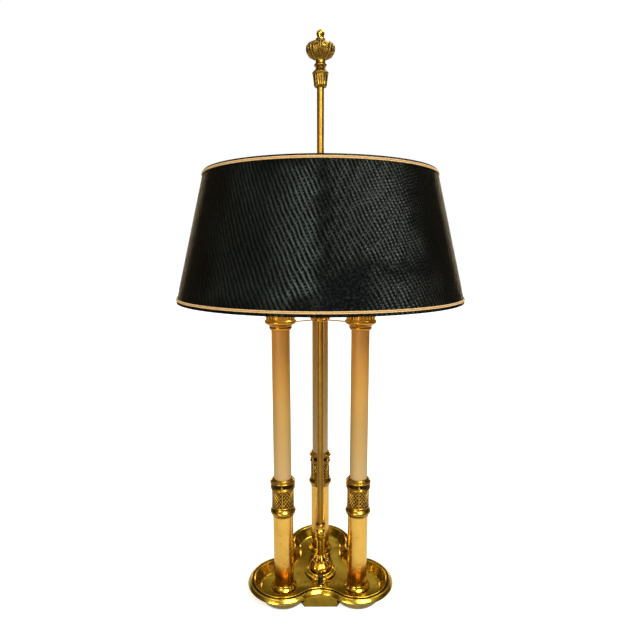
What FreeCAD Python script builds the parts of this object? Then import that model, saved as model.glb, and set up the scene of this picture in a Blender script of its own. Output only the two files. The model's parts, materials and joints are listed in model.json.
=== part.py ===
import FreeCAD, Part
import os
import re
import Sketcher

# A three-candle bouillotte lamp, in millimetres.
# The origin is on the axis of the centre rod, at the underside of the felt. +Z is up, and -Y is the front.
# Heights are measured from the table. Radii are measured from the axis of the piece that they belong to.

SIZES = {
    # three candle columns stand on one circle round the rod
    "column_circle": 65.5,
    # base: felt, cover plate and the cast tray with its three round feet
    "felt_thickness": 1.5,
    "plate_thickness": 1.5,
    "skirt_lift": 0.5,
    "foot_radius": 32.0,
    "foot_top_radius": 39.5,
    "foot_height": 13.0,
    "foot_wall": 4.2,
    "tray_floor": 19.0,
    "tray_roof": 14.0,
    "rim_edge_height": 28.0,
    "rim_height": 33.0,
    "lobe_radius": 55.5,
    "lip_width": 11.0,
    "dish_floor_radius": 33.0,
    "notch_circle": 99.0,
    "notch_radius": 32.3,
    "web_radius": 75.0,
    "web_taper": 0.35,
    "panel_reach": 58.2,
    "panel_half_width": 25.0,
    "panel_wall": 5.0,
    "screw_circle": 47.5,
    "boss_radius": 4.0,
    "screw_radius": 1.5,
    "weight_radius": 42.0,
    "weight_bore": 15.0,
    "weight_height": 6.5,
    # cord gland at the back
    "gland_radius": 3.2,
    "gland_wall": 1.6,
    "gland_height": 8.0,
    "gland_seat": 9.4,
    # rotary switch, in front of the rod
    "switch_place": 30.5,
    "switch_radius": 11.0,
    "bushing_radius": 3.8,
    "ring_nut_radius": 5.9,
    "ring_nut_height": 1.8,
    "knob_radius": 4.3,
    "knob_height": 13.0,
    "knob_shaft_radius": 1.9,
    # candle columns
    "pipe_radius": 4.8,
    "pipe_bore": 3.4,
    "fit": 0.1,
    "flange_radius": 19.3,
    "flange_height": 7.0,
    "sleeve_radius": 15.1,
    "sleeve_wall": 1.0,
    "collar_bottom": 140.0,
    "collar_ring_radius": 19.0,
    "band_radius": 15.4,
    "band_bottom": 157.0,
    "band_top": 183.0,
    "collar_bead_radius": 18.6,
    "collar_top": 200.0,
    "candle_radius": 13.15,
    "candle_wall": 1.2,
    "candle_top": 428.6,
    "cap_bottom": 424.0,
    "cap_ring_radius": 23.0,
    "cap_ring_height": 435.7,
    "gallery_radius": 19.5,
    "gallery_wall": 1.4,
    "gallery_top": 451.0,
    "socket_radius": 9.8,
    "socket_height": 28.0,
    "bulb_cap_radius": 5.9,
    "bulb_radius": 16.0,
    "bulb_length": 74.0,
    # centre rod and what it carries
    "rod_radius": 4.8,
    "rod_top": 758.0,
    "disc_radius": 24.5,
    "disc_height": 7.5,
    "ball_radius": 18.3,
    "ball_top": 42.4,
    "stem_radius": 6.7,
    "urn_radius": 8.2,
    "stem_top": 99.5,
    "ferrule_height": 6.2,
    "hub_radius": 11.5,
    "hub_bottom": 431.6,
    "hub_height": 4.4,
    "arm_radius": 0.9,
    # fluted cup and finial
    "cup_bottom": 752.0,
    "cup_radius": 11.0,
    "cup_height": 25.0,
    "finial_radius": 18.5,
    "finial_height": 33.0,
    "tip_radius": 5.4,
    "tip_height": 14.0,
    "stud_radius": 2.0,
    # shade and its sliding carrier
    "shade_bottom_radius": 203.2,
    "shade_top_radius": 160.4,
    "shade_bottom": 464.5,
    "shade_top": 638.0,
    "cover_thickness": 1.0,
    "liner_thickness": 0.6,
    "ring_wire": 1.6,
    "trim_width": 3.4,
    "trim_depth": 1.7,
    "trim_top_inset": 3.6,
    "trim_bottom_inset": 4.9,
    "spider_drop": 17.0,
    "spider_hub_radius": 13.0,
    "collar_radius": 9.0,
    "collar_height": 20.0,
    "running_gap": 0.3,
    "thumb_radius": 6.5,
    "thumb_length": 16.0,
    "wire_radius": 1.1,
    "wire_height": 4.6,
}

SIDES = {"left": 210, "right": 330, "back": 90}
NOTCHES = {"front": 270, "right": 30, "left": 150}

doc = FreeCAD.newDocument("bouillotte_lamp")
sheet = doc.addObject("Spreadsheet::Sheet", "Sizes")
for row, (alias, size) in enumerate(SIZES.items(), start=1):
    sheet.set("A%d" % row, str(size))
    sheet.setAlias("A%d" % row, alias)
doc.recompute()

parts = {}


def tied(expression):
    """Point each named size in an expression at its cell."""
    return re.sub(r"[a-z][a-z_]*", lambda word: "Sizes." + word.group() if word.group() in SIZES else word.group(),
                  expression)


def value(expression):
    """The present value of an expression in the named sizes."""
    return float(sheet.evalExpression(expression))


def place(piece, x="0", y="0", z="0", rotation=None):
    """Tie a piece's place to the sizes, and turn it."""
    if rotation is not None:
        piece.Placement = FreeCAD.Placement(FreeCAD.Vector(), rotation)
    for axis, expression in zip("xyz", (x, y, z)):
        piece.setExpression("Placement.Base." + axis, tied(expression))
    return piece


def polar(circle, angle):
    """The place on a circle round the rod, at an angle from +X."""
    return "%s * cos(%s)" % (circle, angle), "%s * sin(%s)" % (circle, angle)


def about_z(angle):
    return FreeCAD.Rotation(FreeCAD.Vector(0, 0, 1), angle)


def keep(name, piece):
    """Count a piece among the nodes, under its own name."""
    piece.Label = name
    parts[name] = piece
    return piece


def origin_plane(body, role):
    return next(plane for plane in body.Origin.OriginFeatures if plane.Role == role)


def arc_between(start, end, radius):
    """An arc from start to end. A positive radius bends to the left of the way from start to end."""
    chord = end - start
    rise = max(radius * radius - chord.Length ** 2 / 4, 0) ** 0.5
    side = FreeCAD.Vector(-chord.y, chord.x, 0).normalize()
    centre = (start + end) * 0.5 + side * (rise if radius > 0 else -rise)
    ends = (start, end) if radius > 0 else (end, start)
    circle = Part.Circle(centre, FreeCAD.Vector(0, 0, 1), abs(radius))
    return Part.ArcOfCircle(circle, circle.parameter(ends[0]), circle.parameter(ends[1]))


def outline(sketch, points):
    """Draw a closed outline and tie each corner to the sizes.

    A point is two expressions, across and up, with an optional radius for the arc that leads to it.
    """
    corners = [FreeCAD.Vector(value(point[0]), value(point[1]), 0) for point in points]
    count = len(points)
    starts = []
    ends = []
    for index in range(count):
        here = corners[index]
        there = corners[(index + 1) % count]
        bend = points[(index + 1) % count][2:]
        if bend:
            radius = value(bend[0])
            sketch.addGeometry(arc_between(here, there, radius))
            starts.append(1 if radius > 0 else 2)
            ends.append(2 if radius > 0 else 1)
        else:
            sketch.addGeometry(Part.LineSegment(here, there))
            starts.append(1)
            ends.append(2)
    for index in range(count):
        before = (index - 1) % count
        sketch.addConstraint(Sketcher.Constraint("Coincident", before, ends[before], index, starts[index]))
    for index, point in enumerate(points):
        for kind, axis, expression in (("DistanceX", -2, point[0]), ("DistanceY", -1, point[1])):
            if expression == "0":
                sketch.addConstraint(Sketcher.Constraint("PointOnObject", index, starts[index], axis))
                continue
            added = sketch.addConstraint(
                Sketcher.Constraint(kind, -1, 1, index, starts[index], value(expression)))
            sketch.setExpression("Constraints[%d]" % added, tied(expression))
        if point[2:]:
            before = (index - 1) % count
            added = sketch.addConstraint(Sketcher.Constraint("Radius", before, abs(value(point[2]))))
            sketch.setExpression("Constraints[%d]" % added, tied("abs(%s)" % point[2]))


def turned(name, points, x="0", y="0", z="0", rotation=None):
    """A body of revolution about its own Z axis, from an outline of radii and heights."""
    body = doc.addObject("PartDesign::Body", name)
    sketch = body.newObject("Sketcher::SketchObject", name + "_profile")
    sketch.AttachmentSupport = [(origin_plane(body, "XZ_Plane"), "")]
    sketch.MapMode = "FlatFace"
    outline(sketch, points)
    revolution = body.newObject("PartDesign::Revolution", name + "_revolution")
    revolution.Profile = sketch
    revolution.ReferenceAxis = (sketch, ["V_Axis"])
    revolution.Angle = 360
    return place(body, x, y, z, rotation)


def tube(name, inner, outer, bottom, top, x="0", y="0", rotation=None):
    """A plain ring or sleeve."""
    return turned(name, [(inner, bottom), (outer, bottom), (outer, top), (inner, top)], x, y, "0", rotation)


def padded_plate(name, points, bottom, height):
    """A flat plate with a straight-sided outline, as a pad of its sketch."""
    body = doc.addObject("PartDesign::Body", name)
    sketch = body.newObject("Sketcher::SketchObject", name + "_outline")
    sketch.AttachmentSupport = [(origin_plane(body, "XY_Plane"), "")]
    sketch.MapMode = "FlatFace"
    for start, end in zip(points, points[1:] + points[:1]):
        corners = [FreeCAD.Vector(value(point[0]), value(point[1]), 0) for point in (start, end)]
        sketch.addGeometry(Part.LineSegment(*corners))
    for index, point in enumerate(points):
        before = (index - 1) % len(points)
        sketch.addConstraint(Sketcher.Constraint("Coincident", before, 2, index, 1))
        for kind, expression in (("DistanceX", point[0]), ("DistanceY", point[1])):
            added = sketch.addConstraint(Sketcher.Constraint(kind, -1, 1, index, 1, value(expression)))
            sketch.setExpression("Constraints[%d]" % added, tied(expression))
    pad = body.newObject("PartDesign::Pad", name + "_pad")
    pad.Profile = sketch
    pad.setExpression("Length", tied(height))
    return place(body, z=bottom)


def cylinder(name, radius, height, x="0", y="0", z="0", rotation=None):
    piece = doc.addObject("Part::Cylinder", name)
    piece.setExpression("Radius", tied(radius))
    piece.setExpression("Height", tied(height))
    return place(piece, x, y, z, rotation)


def fused(name, pieces):
    piece = doc.addObject("Part::MultiFuse", name)
    piece.Shapes = pieces
    return piece


def cut(name, base, tools):
    """Cut one tool, or several fused into one, from a base."""
    piece = doc.addObject("Part::Cut", name)
    piece.Base = base
    piece.Tool = tools[0] if len(tools) == 1 else fused(name + "_tools", tools)
    return piece


def group(name, pieces):
    """Identical pieces that share one node, each its own solid."""
    piece = doc.addObject("Part::Compound", name)
    piece.Links = pieces
    return piece


def hex_nut(name, across, bore, height, x, y, z):
    """A hexagon nut with a plain bore."""
    prism = doc.addObject("Part::Prism", name + "_prism")
    prism.Polygon = 6
    prism.setExpression("Circumradius", tied("%s / (2 * cos(30))" % across))
    prism.setExpression("Height", tied(height))
    place(prism, x, y, z)
    hole = cylinder(name + "_bore", bore, "%s + 2" % height, x, y, "%s - 1" % z)
    return cut(name, prism, [hole])


def lobed(name, outer, notch, web):
    """Three lobes and the web between them, less the three hollow notches.

    Each argument is an outline of radii and heights, about a lobe, a notch and the rod.
    """
    lobes = [turned("%s_lobe_%s" % (name, side), outer, *polar("column_circle", angle))
             for side, angle in SIDES.items()]
    hollows = [turned("%s_notch_%s" % (name, side), notch, *polar("notch_circle", angle))
               for side, angle in NOTCHES.items()]
    middle = turned(name + "_web", web)
    return cut(name, fused(name + "_sum", lobes + [middle]), hollows)


def offset_outlines(steps, below, above):
    """Outlines of a lobe, a notch and the web that step in from the edge by the same amounts.

    Each step is two expressions: how far in from the outer edge, and how high. The notch's outline
    reaches past the form at both ends, by the amounts below and above.
    """
    first = steps[0][1]
    last = steps[-1][1]
    lobe = [("0", first)] + [("lobe_radius - (%s)" % inset, up) for inset, up in steps] + [("0", last)]
    web = [("web_radius - web_taper * (%s)" % inset, up) for inset, up in steps]
    web = [("0", first)] + web + [("0", last)]
    foot = "%s - %s" % (first, below)
    notch = [("0", foot), ("notch_radius + (%s)" % steps[0][0], foot)]
    notch += [("notch_radius + (%s)" % inset, up) for inset, up in steps]
    head = "%s + %s" % (last, above)
    notch += [("notch_radius + (%s)" % steps[-1][0], head), ("0", head)]
    return lobe, notch, web


# tray: a moulded rim with two beads and a groove, dished lobes, three round feet and three flat panels
rim_steps = [
    ("19.5", "tray_roof"),
    ("8.5", "rim_edge_height - 6"),
    ("1", "rim_edge_height - 1.4"),
    ("0", "rim_edge_height"),
    ("0.4", "rim_edge_height + 1"),
    ("3.4", "rim_height - 1.2"),
    ("4", "rim_height - 0.3"),
    ("5", "rim_height"),
    ("6", "rim_height - 0.3"),
    ("6.6", "rim_height - 1.2"),
    ("7.4", "rim_height - 1.5"),
    ("8.2", "rim_height - 1.2"),
    ("8.8", "rim_height - 0.2"),
    ("9.7", "rim_height + 0.1"),
    ("10.6", "rim_height - 0.2"),
    ("lip_width", "rim_height - 0.6"),
]
dish_steps = [
    ("lobe_radius - dish_floor_radius", "tray_floor"),
    ("lobe_radius - dish_floor_radius - 3", "tray_floor + 1.2"),
    ("lip_width + 3", "rim_height - 5.6"),
    ("lip_width + 1", "rim_height - 2.6"),
    ("lip_width", "rim_height - 0.6"),
    ("lip_width - 0.1", "rim_height + 4"),
]
rim = lobed("rim_form", *offset_outlines(rim_steps, "1", "1"))
dish = lobed("dish_form", *offset_outlines(dish_steps, "1", "1"))

foot_outline = [
    ("0", "skirt_lift"),
    ("foot_radius - 1", "skirt_lift"),
    ("foot_radius", "skirt_lift + 0.8"),
    ("foot_top_radius", "foot_height", "26"),
    ("lobe_radius - 9.5", "rim_edge_height - 6"),
    ("0", "rim_edge_height - 6"),
]
feet = [turned("foot_form_" + side, foot_outline, *polar("column_circle", angle))
        for side, angle in SIDES.items()]

panel_corners = []
for angle in (0, 120, 240):
    for sign in ("-", ""):
        panel_corners.append((
            "%spanel_half_width * cos(%d) + panel_reach * sin(%d)" % (sign, angle, angle),
            "%spanel_half_width * sin(%d) - panel_reach * cos(%d)" % (sign, angle, angle)))
inner_corners = [(across.replace("panel_reach", "(panel_reach - panel_wall)"),
                  up.replace("panel_reach", "(panel_reach - panel_wall)")) for across, up in panel_corners]
plinth = padded_plate("plinth_form", panel_corners, "skirt_lift", "rim_edge_height - 6 - skirt_lift")


def base_hollow(name, bottom, height, ease):
    """The tray's inside, or a plate that fits it, eased all round."""
    middle = padded_plate(name + "_middle", inner_corners, bottom, height)
    wells = [cylinder("%s_well_%s" % (name, side), "foot_radius - foot_wall - %s" % ease, height,
                      *polar("column_circle", angle), bottom) for side, angle in SIDES.items()]
    return fused(name, [middle] + wells)


hollow = base_hollow("hollow_form", "0", "tray_roof", "0")
pipe_holes = [cylinder("pipe_hole_" + side, "pipe_radius + fit", "rim_height",
                       *polar("column_circle", angle))
              for side, angle in SIDES.items()]
rod_hole = cylinder("rod_hole", "rod_radius + fit", "rim_height")
switch_hole = cylinder("switch_hole", "bushing_radius + fit", "rim_height", y="-switch_place")
to_back = FreeCAD.Rotation(FreeCAD.Vector(1, 0, 0), -90)
gland_hole = cylinder("gland_hole", "gland_radius + gland_wall", "foot_radius + 20",
                      y="column_circle", z="gland_height", rotation=to_back)
gland_face = "column_circle + foot_radius + 4.5"
gland_recess = cylinder("gland_recess", "gland_radius + gland_wall + 1.6", "20", y=gland_face,
                        z="gland_height", rotation=to_back)
body_of_tray = cut("tray_body", fused("tray_sum", [rim, plinth] + feet),
                   [dish, hollow, rod_hole, switch_hole, gland_hole, gland_recess] + pipe_holes)
bosses = [tube("boss_" + side, "screw_radius", "boss_radius", "felt_thickness + plate_thickness",
               "tray_roof + 1", *polar("screw_circle", angle)) for side, angle in NOTCHES.items()]
keep("base_tray", fused("base_tray", [body_of_tray] + bosses))

# felt and cover plate close the underside
screw_holes = [cylinder("plate_hole_" + side, "screw_radius + fit", "10", *polar("screw_circle", angle),
                        "-2") for side, angle in NOTCHES.items()]
plate_blank = base_hollow("plate_blank", "felt_thickness", "plate_thickness", "fit")
keep("base_plate", cut("base_plate", plate_blank, screw_holes))
keep("felt_pad", base_hollow("felt_pad", "0", "felt_thickness", "fit"))
screws = [turned("base_screw_" + side, [
    ("0", "0"),
    ("screw_radius - fit", "0"),
    ("screw_radius - fit", "plate_thickness + 7"),
    ("0", "plate_thickness + 7"),
], *polar("screw_circle", angle), "felt_thickness") for side, angle in NOTCHES.items()]
keep("base_screws", group("base_screws", screws))

# ballast ring under the roof of the tray, cut away round the switch
weight_ring = tube("weight_ring", "weight_bore", "weight_radius", "tray_roof - weight_height - fit",
                   "tray_roof - fit")
weight_gap = cylinder("weight_gap", "switch_radius + 1.5", "weight_height + 4", y="-switch_place",
                      z="tray_roof - weight_height - 2")
keep("base_weight", cut("base_weight", weight_ring, [weight_gap]))

# gland for the supply cord, in the wall of the back foot
keep("cord_bushing", turned("cord_bushing", [
    ("gland_radius", "0"),
    ("gland_radius + gland_wall - fit", "0"),
    ("gland_radius + gland_wall - fit", "gland_seat"),
    ("gland_radius + gland_wall + 1.4", "gland_seat"),
    ("gland_radius + gland_wall + 1.4", "gland_seat + 1.6"),
    ("gland_radius + 0.8", "gland_seat + 2.6"),
    ("gland_radius", "gland_seat + 2.2"),
], y="%s - gland_seat" % gland_face, z="gland_height", rotation=to_back))

# rotary switch: body under the roof, ring nut on the tray, knob with its shaft
keep("switch_body", turned("switch_body", [
    ("0", "felt_thickness + plate_thickness + 0.5"),
    ("switch_radius", "felt_thickness + plate_thickness + 0.5"),
    ("switch_radius", "tray_roof - fit"),
    ("bushing_radius", "tray_roof - fit"),
    ("bushing_radius", "tray_floor + ring_nut_height + 1"),
    ("knob_shaft_radius + 0.3", "tray_floor + ring_nut_height + 1"),
    ("knob_shaft_radius + 0.3", "tray_roof - 3"),
    ("0", "tray_roof - 3"),
], y="-switch_place"))
keep("switch_nut", tube("switch_nut", "bushing_radius + 0.05", "ring_nut_radius", "tray_floor",
                        "tray_floor + ring_nut_height", y="-switch_place"))
knob_bottom = "tray_floor + ring_nut_height + 0.3"
keep("switch_knob", turned("switch_knob", [
    ("0", "tray_roof - 2.5"),
    ("knob_shaft_radius", "tray_roof - 2.5"),
    ("knob_shaft_radius", knob_bottom + " + 1.2"),
    ("knob_radius - 0.3", knob_bottom + " + 1.2"),
    ("knob_radius", knob_bottom + " + 1.6"),
    ("knob_radius", knob_bottom + " + knob_height - 0.8"),
    ("knob_radius - 0.8", knob_bottom + " + knob_height"),
    ("0", knob_bottom + " + knob_height"),
], y="-switch_place"))

# candle columns, from the pipe outwards
GALLERY_BASE = "cap_ring_height - 3.9"
NUT_HEIGHT = "3.2"
pipe_nuts = []
pipe_washers = []
for side, angle in SIDES.items():
    spot = polar("column_circle", angle)
    turn = about_z(angle)
    keep("threaded_pipe_" + side, tube("threaded_pipe_" + side, "pipe_bore", "pipe_radius", "tray_roof - 6.5",
                                       GALLERY_BASE + " + 6", *spot))
    washer = tube("pipe_washer_" + side, "pipe_radius + fit", "pipe_radius + 4.5", "tray_roof - 1.1",
                  "tray_roof - 0.1", *spot)
    pipe_washers.append(washer)
    pipe_nuts.append(hex_nut("pipe_nut_" + side, "14", "pipe_radius + 0.02", NUT_HEIGHT, *spot,
                             "tray_roof - 1.1 - " + NUT_HEIGHT))
    keep("column_flange_" + side, turned("column_flange_" + side, [
        ("pipe_radius + fit", "tray_floor"),
        ("flange_radius", "tray_floor"),
        ("flange_radius", "tray_floor + 1.6"),
        ("flange_radius - 0.9", "tray_floor + 2.6"),
        ("sleeve_radius + 1.2", "tray_floor + flange_height - 0.8", "-7"),
        ("sleeve_radius + 0.6", "tray_floor + flange_height"),
        ("sleeve_radius - sleeve_wall - fit", "tray_floor + flange_height"),
        ("sleeve_radius - sleeve_wall - fit", "tray_floor + flange_height + 5"),
        ("pipe_radius + fit", "tray_floor + flange_height + 5"),
    ], *spot, "0", turn))
    keep("column_sleeve_" + side, tube("column_sleeve_" + side, "sleeve_radius - sleeve_wall", "sleeve_radius",
                                       "tray_floor + flange_height", "collar_bottom + 8", *spot, turn))
    keep("column_collar_" + side, turned("column_collar_" + side, [
        ("sleeve_radius + fit", "collar_bottom"),
        ("sleeve_radius + 1.2", "collar_bottom"),
        ("collar_ring_radius - 0.9", "collar_bottom + 4.4", "-9"),
        ("collar_ring_radius - 0.9", "collar_bottom + 9.6", "2.75"),
        ("band_radius + 1.2", "band_bottom - 3.4", "-6"),
        ("band_radius + 0.9", "band_bottom"),
        ("band_radius", "band_bottom"),
        ("band_radius", "band_top"),
        ("band_radius + 0.9", "band_top"),
        ("band_radius + 1.2", "band_top + 1.4", "0.9"),
        ("band_radius + 0.2", "band_top + 2.8"),
        ("collar_bead_radius - 0.6", "collar_top - 10.6", "-7"),
        ("collar_bead_radius - 0.6", "collar_top - 5.8", "2.6"),
        ("candle_radius + 2.2", "collar_top - 0.6", "-9"),
        ("candle_radius + 1.6", "collar_top"),
        ("candle_radius + fit", "collar_top"),
        ("candle_radius + fit", "collar_bottom + 8.2"),
        ("sleeve_radius + fit", "collar_bottom + 8.2"),
    ], *spot, "0", turn))
    keep("candle_tube_" + side, tube("candle_tube_" + side, "candle_radius - candle_wall", "candle_radius",
                                     "collar_bottom + 10", "candle_top", *spot, turn))
    keep("candle_cap_" + side, turned("candle_cap_" + side, [
        ("candle_radius + fit", "cap_bottom"),
        ("candle_radius + 1.2", "cap_bottom"),
        ("candle_radius + 2.2", "cap_bottom + 1.4", "1.8"),
        ("candle_radius + 2.2", "cap_bottom + 4.6", "1.8"),
        ("candle_radius + 3", "cap_bottom + 5.4"),
        ("cap_ring_radius - 4", "cap_ring_height - 3.9", "-4.5"),
        ("cap_ring_radius - 2", "cap_ring_height - 2.4"),
        ("cap_ring_radius - 1.4", "cap_ring_height - 2"),
        ("cap_ring_radius - 1.4", "cap_ring_height + 2", "2.6"),
        ("gallery_radius + 0.8", "cap_ring_height + 3"),
        ("gallery_radius", "cap_ring_height + 4"),
        ("gallery_radius", "gallery_top - 2"),
        ("gallery_radius + 0.7", "gallery_top - 1.2"),
        ("gallery_radius + 0.4", "gallery_top"),
        ("gallery_radius - gallery_wall", "gallery_top"),
        ("gallery_radius - gallery_wall", GALLERY_BASE),
        ("pipe_radius + fit", GALLERY_BASE),
        ("pipe_radius + fit", "candle_top + 0.2"),
        ("candle_radius + fit", "candle_top + 0.2"),
    ], *spot, "0", turn))
    keep("lamp_socket_" + side, turned("lamp_socket_" + side, [
        ("pipe_radius + 0.05", GALLERY_BASE),
        ("socket_radius - 1.5", GALLERY_BASE),
        ("socket_radius", GALLERY_BASE + " + 3"),
        ("socket_radius", GALLERY_BASE + " + socket_height"),
        ("bulb_cap_radius + 0.6", GALLERY_BASE + " + socket_height"),
        ("bulb_cap_radius + 0.6", GALLERY_BASE + " + 8"),
        ("pipe_radius + 0.05", GALLERY_BASE + " + 6.4"),
    ], *spot))
    bulb_foot = GALLERY_BASE + " + 8.5"
    bulb_cap_top = bulb_foot + " + 21"
    keep("bulb_" + side, turned("bulb_" + side, [
        ("0", bulb_foot),
        ("2", bulb_foot),
        ("bulb_cap_radius", bulb_foot + " + 3"),
        ("bulb_cap_radius", bulb_cap_top),
        ("bulb_radius", bulb_cap_top + " + bulb_length * 0.36", "bulb_length * 0.62"),
        ("bulb_radius * 0.35", bulb_cap_top + " + bulb_length * 0.88", "bulb_length * 0.8"),
        ("0", bulb_cap_top + " + bulb_length"),
    ], *spot))
keep("pipe_nuts", group("pipe_nuts", pipe_nuts))
keep("pipe_washers", group("pipe_washers", pipe_washers))

# centre rod with its nut, stem, spreader, cup and finial
keep("centre_rod", turned("centre_rod", [
    ("0", "tray_roof - 6.5"),
    ("rod_radius", "tray_roof - 6.5"),
    ("rod_radius", "rod_top"),
    ("stud_radius + 0.05", "rod_top"),
    ("stud_radius + 0.05", "rod_top - 12"),
    ("0", "rod_top - 12"),
]))
keep("rod_nut", hex_nut("rod_nut", "16", "rod_radius + 0.02", "4", "0", "0", "tray_roof - 5.2"))
keep("rod_washer", tube("rod_washer", "rod_radius + fit", "rod_radius + 6.5", "tray_roof - 1.2",
                        "tray_roof - 0.1"))
keep("centre_disc", turned("centre_disc", [
    ("rod_radius + fit", "tray_floor"),
    ("disc_radius", "tray_floor"),
    ("disc_radius", "tray_floor + 2.2"),
    ("disc_radius - 1.6", "tray_floor + 3.6", "1.6"),
    ("disc_radius - 3", "tray_floor + 4"),
    ("disc_radius - 3.6", "tray_floor + 5.4"),
    ("disc_radius - 5.4", "tray_floor + disc_height - 0.4", "1.9"),
    ("disc_radius - 8", "tray_floor + disc_height"),
    ("rod_radius + fit", "tray_floor + disc_height"),
]))
ball_bottom = "tray_floor + disc_height"
keep("centre_ball", turned("centre_ball", [
    ("rod_radius + fit", ball_bottom),
    ("ball_radius - 2.6", ball_bottom),
    ("ball_radius", ball_bottom + " + 4.6", "7.5"),
    ("ball_radius - 2.8", ball_bottom + " + 9.6", "8.5"),
    ("ball_radius * 0.42", "ball_top", "19"),
    ("rod_radius + fit", "ball_top"),
]))
keep("centre_stem", turned("centre_stem", [
    ("rod_radius + fit", "ball_top"),
    ("stem_radius + 0.2", "ball_top"),
    ("stem_radius + 1.5", "ball_top + 4"),
    ("stem_radius + 0.9", "ball_top + 6"),
    ("stem_radius", "ball_top + 9"),
    ("stem_radius - 0.4", "stem_top - 20"),
    ("stem_radius + 0.2", "stem_top - 18.6"),
    ("urn_radius", "stem_top - 12.5", "9"),
    ("rod_radius + 1.4", "stem_top - 4.4", "9"),
    ("rod_radius + 1", "stem_top - 3.4"),
    ("rod_radius + 1", "stem_top"),
    ("rod_radius + fit", "stem_top"),
]))
keep("stem_ferrule", turned("stem_ferrule", [
    ("rod_radius + fit", "stem_top"),
    ("urn_radius - 1.6", "stem_top"),
    ("urn_radius", "stem_top + 1"),
    ("urn_radius", "stem_top + ferrule_height - 1.4"),
    ("urn_radius - 1.2", "stem_top + ferrule_height"),
    ("rod_radius + fit", "stem_top + ferrule_height"),
]))

# spreader: a hub on the rod and three wires that hold the candle tops in place
hub = turned("hub_blank", [
    ("rod_radius + 0.05", "hub_bottom"),
    ("hub_radius - 0.8", "hub_bottom"),
    ("hub_radius", "hub_bottom + 0.8"),
    ("hub_radius", "hub_bottom + hub_height - 0.8"),
    ("hub_radius - 0.8", "hub_bottom + hub_height"),
    ("rod_radius + 0.05", "hub_bottom + hub_height"),
])
hub_middle = "hub_bottom + hub_height / 2"
out_front = FreeCAD.Rotation(FreeCAD.Vector(1, 0, 0), 90)
hub_hole = cylinder("hub_hole", "1.5", "hub_radius + 1", z=hub_middle, rotation=out_front)
arm_start = "hub_radius - 3"
arm_holes = []
arms = []
for side, angle in SIDES.items():
    outwards = about_z(angle).multiply(FreeCAD.Rotation(FreeCAD.Vector(0, 1, 0), 90))
    start = polar("(%s)" % arm_start, angle)
    arm_length = "column_circle - cap_ring_radius - 0.2 - (%s)" % arm_start
    arms.append(cylinder("spreader_arm_" + side, "arm_radius", arm_length, *start, hub_middle, outwards))
    arm_holes.append(cylinder("arm_hole_" + side, "arm_radius + 0.05", arm_length, *start, hub_middle,
                              outwards))
keep("spreader_hub", cut("spreader_hub", hub, [hub_hole] + arm_holes))
keep("spreader_arms", group("spreader_arms", arms))
keep("spreader_screw", turned("spreader_screw", [
    ("0", "rod_radius + 0.05"),
    ("1.4", "rod_radius + 0.05"),
    ("1.4", "hub_radius + 0.3"),
    ("2.4", "hub_radius + 0.3"),
    ("2.4", "hub_radius + 1.8"),
    ("0", "hub_radius + 1.8"),
], z=hub_middle, rotation=out_front))

cup_top = "cup_bottom + cup_height"
keep("rod_cup", turned("rod_cup", [
    ("rod_radius + 0.05", "cup_bottom"),
    ("rod_radius + 1.4", "cup_bottom"),
    ("cup_radius - 2.3", "cup_bottom + 4.6", "-6"),
    ("cup_radius - 0.8", "cup_bottom + 14"),
    ("cup_radius - 0.5", "cup_bottom + 16.2"),
    ("cup_radius", "cup_bottom + 17"),
    ("cup_radius - 0.4", "cup_bottom + 18.6", "1.2"),
    ("cup_radius - 3.4", cup_top + " - 3"),
    ("cup_radius - 4.8", cup_top),
    ("stud_radius + fit", cup_top),
    ("stud_radius + fit", "rod_top + 0.2"),
    ("rod_radius + 0.05", "rod_top + 0.2"),
]))
finial_top = cup_top + " + finial_height"
keep("finial_urn", turned("finial_urn", [
    ("stud_radius + fit", cup_top),
    ("finial_radius * 0.33", cup_top),
    ("finial_radius * 0.44", cup_top + " + 1.6"),
    ("finial_radius * 0.44", cup_top + " + 4", "1.6"),
    ("finial_radius * 0.36", cup_top + " + 5.4"),
    ("finial_radius * 0.35", cup_top + " + 8.6"),
    ("finial_radius * 0.44", cup_top + " + 11", "-9"),
    ("finial_radius * 0.62", cup_top + " + 13"),
    ("finial_radius * 0.84", cup_top + " + 15.6"),
    ("finial_radius * 0.96", cup_top + " + 18.4"),
    ("finial_radius", cup_top + " + 22"),
    ("finial_radius * 0.96", cup_top + " + 25.8"),
    ("finial_radius * 0.83", cup_top + " + 29.2"),
    ("finial_radius * 0.3", finial_top + " - 0.8"),
    ("finial_radius * 0.26", finial_top),
    ("0", finial_top),
    ("0", cup_top + " + 12"),
    ("stud_radius + fit", cup_top + " + 12"),
]))
keep("finial_tip", turned("finial_tip", [
    ("0", finial_top),
    ("tip_radius * 0.8", finial_top),
    ("tip_radius * 0.8", finial_top + " + 0.9"),
    ("tip_radius * 1.2", finial_top + " + 1.3"),
    ("tip_radius * 1.2", finial_top + " + 2.3"),
    ("tip_radius * 0.7", finial_top + " + 3"),
    ("tip_radius", finial_top + " + tip_height - tip_radius"),
    ("0", finial_top + " + tip_height", "tip_radius"),
]))
stud_foot = "rod_top - 11"
keep("finial_stud", cylinder("finial_stud", "stud_radius", "%s + 11.8 - (%s)" % (cup_top, stud_foot),
                             z=stud_foot))

# shade: cover, liner, wire rings, trims and the spider that rests on the carrier
slant = "((shade_bottom_radius - shade_top_radius) / (shade_top - shade_bottom))"


def shade_radius(height, inset="0"):
    """The shade's outer radius at a height, less an inset measured across the wall."""
    return "shade_top_radius + (shade_top - (%s)) * %s - (%s) * sqrt(1 + %s ^ 2)" % (height, slant, inset, slant)


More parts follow.
